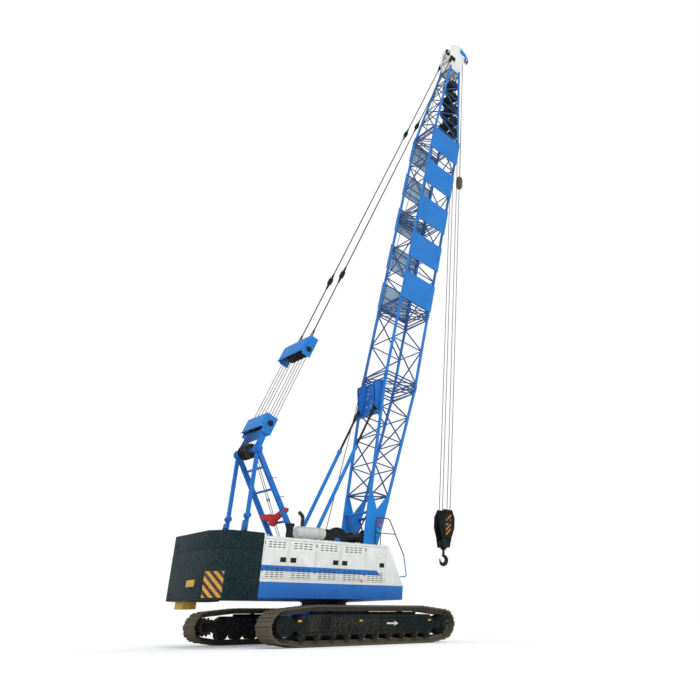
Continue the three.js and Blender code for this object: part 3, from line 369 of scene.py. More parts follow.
def build_bands():
    """Level painted bands: the skirt below one height and a stripe between two others."""
    tree, given, out = group("Painted bands", [("Color", "NodeSocketColor", (0.5, 0.5, 0.5, 1)),
                                               ("Band", "NodeSocketColor", (0, 0, 1, 1)),
                                               ("Skirt Top", "NodeSocketFloat", 1.76),
                                               ("Stripe Low", "NodeSocketFloat", 2.06),
                                               ("Stripe High", "NodeSocketFloat", 2.22),
                                               ("Stripe End", "NodeSocketFloat", SLEW_X + 0.95 + 2.14)],
                             [("Color", "NodeSocketColor")])
    z = height_of(tree)
    skirt = maths(tree, "LESS_THAN", z, given["Skirt Top"])
    stripe = maths(tree, "MULTIPLY", maths(tree, "GREATER_THAN", z, given["Stripe Low"]),
                   maths(tree, "LESS_THAN", z, given["Stripe High"]))
    slanted = maths(tree, "ADD", object_axes(tree)["X"], z)
    stripe = maths(tree, "MULTIPLY", stripe, maths(tree, "LESS_THAN", slanted, given["Stripe End"]))
    tree.links.new(mixed(tree, maths(tree, "MAXIMUM", skirt, stripe), given["Color"], given["Band"]),
                   out["Color"])
    return tree


def build_grain():
    """Fine surface relief: orange peel of thick paint, cast skin or caked mud."""
    tree, given, out = group("Grain",
                             [("Fine", "NodeSocketFloat", 0.4), ("Coarse", "NodeSocketFloat", 0.4)],
                             [("Height", "NodeSocketFloat")])
    fine = maths(tree, "MULTIPLY", noise(tree, 160, 3), given["Fine"])
    coarse = maths(tree, "MULTIPLY", noise(tree, 11, 6), given["Coarse"])
    tree.links.new(maths(tree, "ADD", fine, coarse), out["Height"])
    return tree


def finish_material(name, base, rough, metal=0.0, grime=0.3, mud_line=1.0, wear=0.4, grain=(0.15, 0.1),
                    depth=0.002,
                    bands=False, coat=0.0, gloss=0.28):
    """A Principled finish fed by the shared groups."""
    paint_set = bpy.context.scene.crane_paint
    material = bpy.data.materials.new(name)
    material.use_nodes = True
    material.diffuse_color = base
    tree = material.node_tree
    shader = tree.nodes["Principled BSDF"]
    colour_out = None
    if bands:
        node = tree.nodes.new("ShaderNodeGroup")
        node.node_tree = bpy.data.node_groups["Painted bands"]
        node.inputs["Color"].default_value = base
        node.inputs["Band"].default_value = tuple(paint_set.blue)
        colour_out = node.outputs["Color"]
    worn = tree.nodes.new("ShaderNodeGroup")
    worn.node_tree = bpy.data.node_groups["Edge wear"]
    worn.inputs["Amount"].default_value = wear
    if colour_out:
        tree.links.new(colour_out, worn.inputs["Color"])
    else:
        worn.inputs["Color"].default_value = base
    dirty = tree.nodes.new("ShaderNodeGroup")
    dirty.node_tree = bpy.data.node_groups["Grime"]
    dirty.inputs["Amount"].default_value = grime
    dirty.inputs["Mud Line"].default_value = mud_line
    dirty.inputs["Dirt"].default_value = tuple(paint_set.mud)
    tree.links.new(worn.outputs["Color"], dirty.inputs["Color"])
    tree.links.new(dirty.outputs["Color"], shader.inputs["Base Color"])
    roughness = ramp(tree, maths(tree, "MAXIMUM", dirty.outputs["Mask"], worn.outputs["Mask"]), 0, 1, rough,
                     0.92)
    tree.links.new(roughness, shader.inputs["Roughness"])
    if metal:
        tree.links.new(ramp(tree, dirty.outputs["Mask"], 0, 1, metal, 0.0), shader.inputs["Metallic"])
    shader.inputs["Coat Weight"].default_value = coat
    shader.inputs["Specular IOR Level"].default_value = gloss
    relief = tree.nodes.new("ShaderNodeGroup")
    relief.node_tree = bpy.data.node_groups["Grain"]
    relief.inputs["Fine"].default_value, relief.inputs["Coarse"].default_value = grain
    bump = put(tree, "ShaderNodeBump", {"Strength": 0.6, "Distance": depth},
               {"Height": relief.outputs["Height"]})
    tree.links.new(bump.outputs[0], shader.inputs["Normal"])
    MATERIALS[name] = material
    return material


def rope_material(name, base, pitch):
    """Laid wire rope: bright crowns between dark greased valleys, along a rope that stands or leans."""
    material = finish_material(name, base, 0.55, 0.6, grime=0.2, mud_line=0.1, wear=0.2)
    tree = material.node_tree
    shader = tree.nodes["Principled BSDF"]
    coords = tree.nodes.new("ShaderNodeTexCoord").outputs["Object"]
    wave = put(tree, "ShaderNodeTexWave", {"Scale": pitch, "Distortion": 0.4}, {"Vector": coords},
               bands_direction="Z").outputs["Fac"]
    bump = put(tree, "ShaderNodeBump", {"Strength": 0.8, "Distance": 0.004}, {"Height": wave})
    tree.links.new(bump.outputs[0], shader.inputs["Normal"])
    return material


def hazard_material(name):
    """Diagonal yellow and black stripes on a side face."""
    material = finish_material(name, (0.80, 0.36, 0.01, 1), 0.5, grime=0.35)
    tree = material.node_tree
    split = object_axes(tree)
    across = maths(tree, "ADD", split["X"], maths(tree, "ABSOLUTE", split["Y"]))
    slant = maths(tree, "ADD", across, maths(tree, "MULTIPLY", split["Z"], 1.4))
    band = maths(tree, "FRACT", maths(tree, "MULTIPLY", slant, 3.0))
    stripes = mixed(tree, maths(tree, "GREATER_THAN", band, 0.5), (0.80, 0.36, 0.01, 1),
                    (0.02, 0.02, 0.02, 1))
    tree.links.new(stripes,
                   next(n for n in tree.nodes if n.type == "GROUP" and "wear" in n.node_tree.name).inputs[0])
    return material


def glass_material(name):
    material = bpy.data.materials.new(name)
    material.use_nodes = True
    shader = material.node_tree.nodes["Principled BSDF"]
    shader.inputs["Base Color"].default_value = (0.72, 0.82, 0.84, 1)
    shader.inputs["Roughness"].default_value = 0.04
    shader.inputs["Transmission Weight"].default_value = 0.9
    shader.inputs["IOR"].default_value = 1.45
    smear = ramp(material.node_tree, noise(material.node_tree, 6, 6, (1, 1, 0.4)), 0.45, 0.8, 0.03, 0.3)
    material.node_tree.links.new(smear, shader.inputs["Roughness"])
    MATERIALS[name] = material


def build_materials():
    p = bpy.context.scene.crane_paint
    for build in (build_grime, build_wear, build_bands, build_grain):
        build()
    finish_material("ivory_paint", tuple(p.ivory), 0.42, grime=0.14, mud_line=0.5, wear=0.25, coat=0.1)
    finish_material("banded_paint", tuple(p.ivory), 0.42, grime=0.12, mud_line=0.5, wear=0.2, bands=True,
                    coat=0.1)
    finish_material("teal_paint", tuple(p.teal), 0.55, grime=0.05, mud_line=0.4, wear=0.3, gloss=0.08)
    finish_material("blue_paint", tuple(p.blue), 0.42, grime=0.05, mud_line=0.4, wear=0.3, gloss=0.10)
    finish_material("boom_paint", tuple(p.boom_blue), 0.4, grime=0.02, mud_line=0.3, wear=0.15, gloss=0.10)
    # Painted shade: the skirt blue darkened to 0.55 for the lacing, joint diagonals and board rails, which
    # carry the same blue paint as the rest of the steelwork.
    finish_material("lacing_paint", tuple(c * 0.55 for c in p.blue[:3]) + (1,), 0.45, grime=0.08,
                    mud_line=0.3,
                    wear=0.4)
    finish_material("board_backing", (0.42, 0.60, 0.74, 1), 0.6, grime=0.1, mud_line=0.3, wear=0.3)
    finish_material("cream_paint", tuple(p.cream), 0.45, grime=0.1, mud_line=0.3, wear=0.5)
    finish_material("dark_paint", tuple(p.dark), 0.65, grime=0.14, mud_line=0.3, wear=0.25,
                    grain=(0.2, 0.3),
                    gloss=0.08)
    finish_material("orange_paint", (0.55, 0.17, 0.01, 1), 0.55, grime=0.2, mud_line=0.3)
    finish_material("yellow_paint", (0.75, 0.42, 0.02, 1), 0.45, grime=0.2, mud_line=0.3, wear=0.7)
    finish_material("white_paint", (0.78, 0.78, 0.76, 1), 0.5, grime=0.2, mud_line=0.3)
    finish_material("muddy_steel", tuple(p.mud), 0.85, 0.0, grime=0.8, mud_line=1.6, wear=0.5,
                    grain=(0.5, 1.2),
                    depth=0.012)
    finish_material("dark_iron", (0.018, 0.022, 0.022, 1), 0.55, 0.3, grime=0.16, mud_line=0.4, wear=0.4,
                    grain=(0.3, 0.3), gloss=0.15)
    finish_material("silver_paint", (0.62, 0.63, 0.61, 1), 0.42, 0.4, grime=0.12, mud_line=0.3, wear=0.4)
    finish_material("black_rubber", (0.012, 0.013, 0.013, 1), 0.75, grime=0.15, mud_line=0.4, wear=0.0)
    finish_material("seat_fabric", (0.03, 0.03, 0.035, 1), 0.9, grime=0.1, mud_line=0.3, wear=0.0,
                    grain=(1, 0.2))
    finish_material("red_rag", (0.62, 0.022, 0.03, 1), 0.9, grime=0.08, mud_line=0.3, wear=0.0,
                    grain=(1, 0.6))
    rope_material("wire_rope", tuple(p.rope), 9.0)
    hazard_material("hazard_stripes")
    glass_material("cab_glass")
    for name, tint in (("red_lens", (0.7, 0.02, 0.01, 1)), ("green_lens", (0.02, 0.45, 0.1, 1)),
                       ("orange_lens", (0.85, 0.25, 0.02, 1))):
        finish_material(name, tint, 0.15, grime=0.1, mud_line=0.3, wear=0.0, coat=0.5)


# ------------------------------------------------------------------ undercarriage
WHEEL_X, WHEEL_Z, WHEEL_RADIUS = 2.8, 0.55, 0.47


def track_outline():
    """One track's outline in its own plane, X along it: flats below and above, round ends."""
    end, radius, height = WHEEL_X, WHEEL_RADIUS, WHEEL_Z
    points = [(-2.35, 0.0), (2.35, 0.0)]
    points += [(end + radius * math.cos(math.radians(a)), height + radius * math.sin(math.radians(a)))
               for a in (-78 + 158 * i / 14 for i in range(15))]
    points += [(1.9, 1.12), (-1.9, 1.12)]
    points += [(-x, z) for x, z in reversed(points[2:17])]
    return [Vector((x, 0, z)) for x, z in points]


def stations(points, count):
    """Evenly spaced places round a closed outline, each with its direction of travel."""
    ring = points + points[:1]
    lengths = [(b - a).length for a, b in zip(ring, ring[1:])]
    pitch = sum(lengths) / count
    found = []
    for i in range(count):
        left = (i + 0.5) * pitch
        for a, b, run in zip(ring, ring[1:], lengths):
            if left <= run:
                found.append((a + (b - a) * (left / run), (b - a).normalized(), pitch))
                break
            left -= run
    return found


def shoe_mesh(pitch, half):
    """One shoe: a plate with a grouser bar on the ground side and two link plates inside."""
    begin("shoe")
    gap = 0.007
    block((-pitch / 2 + gap, pitch / 2 - gap), (-half, half), (-0.052, -0.024))
    block((-pitch * 0.40, -pitch * 0.24), (-half, half), (-0.026, -0.001))
    block((pitch * 0.20, pitch * 0.36), (-half, half), (-0.026, -0.001))
    for y in (-0.13, 0.13):
        block((-pitch * 0.52, pitch * 0.52), (y - 0.026, y + 0.026), (-0.168, -0.05))
    tube((-pitch * 0.5, -0.17, -0.115), (-pitch * 0.5, 0.17, -0.115), 0.034, 8)
    for x in (-0.035, 0.045):
        for y in (-0.21, 0.21):
            tube((x, y, -0.028), (x, y, -0.012), 0.016, 6)
    bpy.ops.object.mode_set(mode="OBJECT")
    shoe = bpy.context.object
    mesh = shoe.data
    bpy.data.objects.remove(shoe)
    return mesh


def place_copies(name, mesh, places):
    """One piece from many turned copies of a small mesh."""
    form = bmesh.new()
    for place in places:
        start = len(form.verts)
        form.from_mesh(mesh)
        form.verts.ensure_lookup_table()
        bmesh.ops.transform(form, matrix=place, verts=form.verts[start:])
    joined = bpy.data.meshes.new(name)
    form.to_mesh(joined)
    form.free()
    deselect()
    piece = bpy.data.objects.new(name, joined)
    bpy.context.scene.collection.objects.link(piece)
    bpy.context.view_layer.objects.active = piece
    piece.select_set(True)
    bpy.ops.object.mode_set(mode="EDIT")
    bpy.ops.mesh.select_all(action="SELECT")
    return piece


SIDES = (("right", -1), ("left", 1))
GAUGE = 2.335
SHOE_HALF = 0.41


class CRANE_OT_tracks(bpy.types.Operator):
    """Both tracks: grousered shoes on their links, and the sprockets that drive them"""
    bl_idname = "crane.tracks"
    bl_label = "Tracks"

    def execute(self, context):
        places = stations(track_outline(), context.scene.crane_sizes.shoes)
        mesh = shoe_mesh(places[0][2], SHOE_HALF)
        for name, side in SIDES:
            turns = []
            for point, along, _ in places:
                out = Vector((along.z, 0, -along.x))
                turn = Matrix((along, out.cross(along), out)).transposed().to_4x4()
                turns.append(Matrix.Translation(at(point.x, side * GAUGE, point.z)) @ turn)
            piece = place_copies(f"{name}_track_shoes", mesh, turns)
            bpy.ops.mesh.normals_make_consistent(inside=False)
            done("undercarriage", "muddy_steel", replaces=(f"{name}_track",),
                 piece=piece)
            begin(f"{name}_sprocket_wheel")
            centre = at(-WHEEL_X, side * GAUGE, WHEEL_Z)
            turned([(0.09, -0.2), (0.235, -0.2), (0.235, -0.1), (0.205, -0.06), (0.205, 0.06), (0.235, 0.1),
                    (0.235, 0.2), (0.09, 0.2)], centre, steps=28)
            for i in range(14):
                a = math.tau * i / 14
                out = Vector((math.cos(a), 0, math.sin(a)))
                for y in (-0.15, 0.15):
                    start = centre + out * 0.2 + Vector((0, y, 0))
                    bar(start, start + out * 0.08, 0.07, 0.05)
            done("undercarriage", "muddy_steel",
                 replaces=(f"{name}_sprocket",))
        bpy.data.meshes.remove(mesh)
        return {"FINISHED"}


def roller(centre, radius, half):
    """A double-flanged track roller."""
    turned([(radius * 0.35, -half), (radius, -half), (radius, -half * 0.72), (radius * 0.86, -half * 0.66),
            (radius * 0.86, half * 0.66), (radius, half * 0.72), (radius, half), (radius * 0.35, half)],
            centre,
           steps=20)


class CRANE_OT_undercarriage(bpy.types.Operator):
    """Crawler frames, rollers, hubs, step grilles, car body and slewing ring"""
    bl_idname = "crane.undercarriage"
    bl_label = "Undercarriage"

    def execute(self, context):
        for name, side in SIDES:
            softened(f"{name}_crawler_frame", "undercarriage", "dark_paint", 0.008)
            face = side * (GAUGE + 0.32)
            begin(f"{name}_crawler_fittings")
            for end in (-1, 1):
                bar(at(-1.28 * end, face, 0.36), at(-0.2 * end, face, 0.36), 0.03, 0.035)
                bar(at(-1.28 * end, face, 0.80), at(-0.2 * end, face, 0.80), 0.03, 0.035)
            for x in (-0.75, 0.35, 1.0, 1.55, 2.1):
                block(sorted((SLEW_X + x, SLEW_X + x + 0.03)),
                      sorted((face - side * 0.01, face + side * 0.022)),
                      (0.33, 0.83))
            for i in range(5):
                bar(at(-1.70, face + side * 0.05, 0.46 + 0.08 * i),
                    at(-1.40, face + side * 0.05, 0.46 + 0.08 * i),
                    0.012, 0.02)
            for x in (-2.28, 2.28):
                for z in (0.46, 0.64):
                    tube(at(x, face - side * 0.01, z), at(x, face + side * 0.02, z), 0.028, 6)
            for x, top in ((1.85, 0.94), (2.30, 0.87)):
                bar(at(-x, side * GAUGE, (0.78 + top) / 2), at(x, side * GAUGE, (0.78 + top) / 2), 0.20,
                    top - 0.78)
            for i in range(12):
                a = math.tau * i / 12
                hub = at(-WHEEL_X + 0.21 * math.cos(a), face + side * 0.055, WHEEL_Z + 0.21 * math.sin(a))
                tube(hub, hub + Vector((0, side * 0.022, 0)), 0.015, 6)
            hub = at(-WHEEL_X, side * (GAUGE + 0.375), WHEEL_Z)
            turned([(0.0, 0), (0.15, 0), (0.15, 0.012), (0.12, 0.03), (0.0, 0.034)], hub, (0, side, 0), 28)
            done("undercarriage", "dark_paint", bevel=0.003)
            begin(f"{name}_track_rollers")
            for i in range(10):
                x = -2.23 + 4.46 * i / 9
                centre = at(x, side * GAUGE, 0.285)
                roller(centre, 0.118, 0.268)
                tube(centre + Vector((0, -0.34, 0)), centre + Vector((0, 0.34, 0)), 0.034, 8)
                for face_side in (-1, 1):
                    start = centre + Vector((0, face_side * 0.325, 0))
                    bar(start + Vector((0, 0, -0.05)), start + Vector((0, 0, 0.10)), 0.03, 0.11)
            done("undercarriage", "dark_paint", bevel=0.003)
        begin("travel_arrow")
        y = -(GAUGE + 0.3215)
        bar(at(0.58, y, 0.60), at(0.86, y, 0.60), 0.004, 0.045)
        outline([at(0.86, y - 0.002, 0.53), at(1.02, y - 0.002, 0.60), at(0.86, y - 0.002, 0.67)],
                (0, 0.004, 0))
        done("undercarriage", "white_paint")
        begin("crawler_markers")
        for x in (-2.42, -0.42, 2.2):
            block((SLEW_X + x, SLEW_X + x + 0.12), (y - 0.003, y + 0.003), (0.66, 0.71))
        done("undercarriage", "yellow_paint")
        softened("carbody", "undercarriage", "blue_paint", 0.010)
        begin("slewing_bearing")
        turned([(0.42, 0), (0.75, 0), (0.75, 0.11), (0.70, 0.13), (0.70, 0.20), (0.755, 0.215),
                (0.755, 0.27),
                (0.42, 0.27)], at(0, 0, 1.0503), (0, 0, 1), 72)
        for i in range(36):
            a = math.tau * i / 36
            foot = at(0.727 * math.cos(a), 0.727 * math.sin(a), 1.158)
            tube(foot, foot + Vector((0, 0, 0.025)), 0.014, 6)
        done("undercarriage", "dark_iron", bevel=0.003, replaces=("slewing_ring",))
        return {"FINISHED"}


# ------------------------------------------------------------------ machinery house
HOUSE_Y = 1.552
DOORS = {"right": [(-3.068, -2.307), (-2.273, -1.407), (-1.373, -0.537), (-0.503, 0.383), (0.417, 1.213)],
         "left": [(-3.068, -2.307), (-2.273, -1.407), (-1.373, -0.537)]}
LATCH_AT_FRONT = {"right": (True, False, True, False, True), "left": (False, True, False)}


def side_block(side, x, y, z):
    """A box on a side wall: y counts outwards from the house's face."""
    block((SLEW_X + x[0], SLEW_X + x[1]), sorted((side * (HOUSE_Y + y[0]), side * (HOUSE_Y + y[1]))), z)


def louvres(x0, x1, z0, z1, groups, rows):
    """Pressed slots in groups: a small hood over a flat black strip, the strip being painted shade where the
    opening would be.
    """
    pitch = (x1 - x0) / groups
    step = (z1 - z0) / rows
    for i in range(groups):
        left = x0 + pitch * (i + 0.14)
        right = x0 + pitch * (i + 0.86)
        for j in range(rows):
            z = z0 + step * (j + 0.3)
            yield (left, right), z, step


class CRANE_OT_house(bpy.types.Operator):
    """Machinery houses, hinged panels with their louvres and latches, hood and revolving frame"""
    bl_idname = "crane.house"
    bl_label = "Machinery house"

    def execute(self, context):
        softened("revolving_frame", "upper_structure", "blue_paint", 0.006)
        for name in ("house_right", "house_left"):
            softened(name, "upper_structure", "banded_paint", 0.008)
        softened("centre_hood", "upper_structure", "ivory_paint", 0.008)
        softened("engine", "upper_structure", "dark_iron", 0.02)
        for name, side in SIDES:
            for number, (x0, x1) in enumerate(DOORS[name], 1):
                self.panel(name, side, number, x0 + 0.006, x1 - 0.006)
        self.trim()
        return {"FINISHED"}

    def panel(self, name, side, number, x0, x1):
        body = f"{name}_door_{number}"
        softened(body, body, "banded_paint", 0.006)
        wide = x1 - x0
        slots = list(louvres(x0 + wide * 0.10, x1 - wide * 0.10, 1.875, 2.175, 4, 5))
        if number < 5:
            slots += louvres(x0 + wide * 0.12, x1 - wide * 0.12, 2.705, 2.915, 4, 3)
        begin(f"{body}_louvre_hoods")
        for span, z, step in slots:
            side_block(side, span, (0.0, 0.007), (z + step * 0.33, z + step * 0.47))
            for x in span:
                side_block(side, (x - 0.003, x + 0.003), (0.0, 0.006), (z, z + step * 0.36))
        side_block(side, (x0 + wide * 0.30, x1 - wide * 0.22), (0.0, 0.006), (2.628, 2.638))
        for z in (1.852, 2.948):
            side_block(side, (x0 + 0.012, x1 - 0.012), (0.0, 0.004), (z - 0.004, z + 0.004))
        done(body, "banded_paint", bevel=0.0015)
        begin(f"{body}_painted_slot_shade_and_latches")
        # Flat black strips under the hoods: painted shade standing for the slots' openings. The latch plates
        # and hinge pins below are black parts of their own.
        for span, z, step in slots:
            side_block(side, span, (0.0, 0.0012), (z, z + step * 0.33))
        latch = x1 - 0.14 if LATCH_AT_FRONT[name][number - 1] else x0 + 0.14
        side_block(side, (latch - 0.095, latch + 0.095), (0.0, 0.004), (2.32, 2.46))
        side_block(side, (latch - 0.045, latch + 0.045), (0.003, 0.016), (2.365, 2.415))
        hinge = JOINTS[f"{body}_hinge"]["pos_m"]
        for z in (2.02, 2.80):
            start = Vector((hinge[0], hinge[1], z))
            tube(start, start + Vector((0, 0, 0.09)), 0.010, 8)
        done(body, "black_rubber", bevel=0.001)
        if number == 4 and name == "right":
            begin("side_marker_lamp")
            turned([(0.0, 0.0), (0.045, 0.0), (0.045, 0.012), (0.03, 0.028), (0.0, 0.032)],
                   at(x1 - 0.06, side * HOUSE_Y, 1.885), (0, side, 0), 20)
            done(body, "orange_lens")

    def trim(self):
        """Rain gutter, roof hatches, lifting eyes, skirt joints and the front post of the right house."""
        begin("house_trim")
        for side in (-1, 1):
            front = 1.28 if side < 0 else 0.15
            bar(at(-3.09, side * 1.545, 3.027), at(front, side * 1.545, 3.027), 0.03, 0.012)
            bar(at(-3.09, side * 0.83, 3.027), at(front, side * 0.83, 3.027), 0.03, 0.012)
            for x in (-2.29, -1.39, -0.52):
                bar(at(x, side * 0.83, 3.024), at(x, side * 1.54, 3.024), 0.02, 0.006)
        for x, y in ((-0.95, -1.35), (0.72, -1.2), (-1.1, 1.2), (-2.5, 1.2)):
            block((SLEW_X + x - 0.22, SLEW_X + x + 0.22), (y - 0.15, y + 0.15), (3.0203, 3.045))
            tube(at(x - 0.05, y, 3.058), at(x + 0.05, y, 3.058), 0.009, 8)
        for x, y in ((-2.95, -1.42), (1.1, -1.42), (-2.95, 1.42), (0.0, 1.42)):
            for i in range(8):
                a, b = math.pi * i / 8, math.pi * (i + 1) / 8
                tube(at(x + 0.05 * math.cos(a), y, 3.02 + 0.07 * math.sin(a)),
                     at(x + 0.05 * math.cos(b), y, 3.02 + 0.07 * math.sin(b)), 0.010, 6)
        done("upper_structure", "ivory_paint", bevel=0.002)
        begin("skirt_trim")
        for side, front in ((-1, 1.97), (1, 0.14)):
            y = side * 1.556
            bar(at(-3.1, y, 1.335), at(front, y, 1.335), 0.01, 0.022)
            for x in (-2.7, -1.8, -0.9, 0.0, 0.9, 1.8):
                if x < front:
                    for z in (1.40, 1.70):
                        tube(at(x, y - side * 0.004, z), at(x, y + side * 0.006, z), 0.012, 6)
        bar(at(1.974, -1.54, 1.335), at(1.974, -0.82, 1.335), 0.01, 0.022)
        done("upper_structure", "blue_paint", bevel=0.001)


# ------------------------------------------------------------------ counterweight
class CRANE_OT_counterweight(bpy.types.Operator):
    """Counterweight castings with lifting lugs, hazard stripes and plates"""
    bl_idname = "crane.counterweight"
    bl_label = "Counterweight"

    def execute(self, context):
        for name in ("counterweight_lower", "counterweight_upper"):
            softened(name, "upper_structure", "teal_paint", 0.016)
        right = (Vector((-4.545, -1.093, 0)), Vector((-4.15, -1.62, 0)))
        left = (Vector((-4.15, 1.62, 0)), Vector((-4.545, 1.093, 0)))
        begin("hazard_plates")
        for a, b in (right, left):
            run = (b - a).normalized()
            out = Vector((run.y, -run.x, 0)) * 0.003
            ends = [a + run * 0.06, b - run * 0.03]
            lift = Vector((SLEW_X, 0, 0))
            outline([ends[0] + lift + Vector((0, 0, 1.31)), ends[1] + lift + Vector((0, 0, 1.31)),
                     ends[1] + lift + Vector((0, 0, 2.0)), ends[0] + lift + Vector((0, 0, 2.0))], out)
        done("upper_structure", "hazard_stripes")
        begin("rear_blank_plate")
        block((SLEW_X - 4.549, SLEW_X - 4.5445), (-0.66, -0.14), (1.62, 1.80))
        done("upper_structure", "yellow_paint", bevel=0.001)
        begin("counterweight_fittings")
        for side in (-1, 1):
            a, b = Vector((-4.15, side * 1.62, 0)), Vector((-3.7, side * 1.65, 0))
            for z in (1.75, 2.95):
                out = Vector((0.066 * -1, side * 0.998, 0)).normalized()
                centre = (a + b) / 2 + Vector((SLEW_X, 0, z)) - out * 0.002
                turned([(0.0, 0.004), (0.06, 0.004), (0.075, 0.016), (0.095, 0.016), (0.10, 0.0),
                        (0.0, 0.0)], centre,
                       out, 28)
            for x in (-4.1, -3.5):
                for i in range(8):
                    p, q = math.pi * i / 8, math.pi * (i + 1) / 8
                    tube(at(x + 0.07 * math.cos(p), side * 1.1, 3.11 + 0.09 * math.sin(p)),
                         at(x + 0.07 * math.cos(q), side * 1.1, 3.11 + 0.09 * math.sin(q)), 0.016, 8)
        for y in (-0.9, 0.9):
            tube(at(-4.551, y, 1.45), at(-4.54, y, 1.45), 0.05, 20)
            tube(at(-4.551, y, 2.82), at(-4.54, y, 2.82), 0.05, 20)
        bar(at(-4.552, -1.05, 1.285), at(-4.552, 1.05, 1.285), 0.012, 0.02)
        done("upper_structure", "teal_paint", bevel=0.002)
        begin("counterweight_step")
        block((SLEW_X - 4.13, SLEW_X - 3.75), (0.86, 1.46), (1.056, 1.27))
        done("upper_structure", "yellow_paint", bevel=0.008)
        return {"FINISHED"}


# ------------------------------------------------------------------ boom
JOINTS_AT = (7.525, 10.808, 15.572, 20.136)
HEAD_FROM = 24.98
HALF, DEPTH = 0.709, 0.7065
CORNERS = ((-1, -1), (-1, 1), (1, 1), (1, -1))
BOOM_FACES = (((-1, -1), (-1, 1)), ((1, 1), (1, -1)), ((-1, 1), (1, 1)), ((1, -1), (-1, -1)))


def along(s, stops):
    """The value at s of a line through (s, value) stops."""
    for (s0, v0), (s1, v1) in zip(stops, stops[1:]):
        if s <= s1:
            return v0 + (v1 - v0) * (s - s0) / (s1 - s0)
    return stops[-1][1]


def half_width(s):
    return along(s, ((0, HALF), (JOINTS_AT[3], HALF), (HEAD_FROM, 0.33), (30, 0.33)))


def half_depth(s):
    return along(s, ((0, 0.33), (2.45, 0.33), (7.405, DEPTH), (JOINTS_AT[3], DEPTH), (HEAD_FROM, 0.262),
                     (30, 0.262)))


def corner(s, sy, sz):
    return boom_at(s, sy * half_width(s), sz * half_depth(s))


def boom_ring(s, radius, braced=False):
    """Cross members between the four chords at one place, with a diagonal where braced."""
    for a, b in BOOM_FACES:
        tube(corner(s, *a), corner(s, *b), radius, 10)
    if braced:
        tube(corner(s, -1, -1), corner(s, 1, 1), radius * 0.8, 8)


def boom_lacing(s0, s1, bays, lace):
    step = (s1 - s0) / bays
    for a, b in BOOM_FACES:
        for i in range(bays):
            start, end = (a, b) if i % 2 == 0 else (b, a)
            tube(corner(s0 + step * i, *start), corner(s0 + step * (i + 1), *end), lace, 10)


def pin_joint(s, chord):
    """The fork, lug and pin that join two sections at each chord."""
    for sy, sz in CORNERS:
        y, z = sy * half_width(s), sz * half_depth(s)
        for shift in (-1, 1):
            start, end = boom_at(s + shift * 0.004, y, z), boom_at(s + shift * 0.15, y, z)
            tube(start, end, chord * 1.16, 16)
        tube(boom_at(s, y - 0.078, z), boom_at(s, y + 0.078, z), 0.026, 12)
        for side in (-1, 1):
            tube(boom_at(s, y + side * 0.066, z), boom_at(s, y + side * 0.072, z), 0.046, 16)


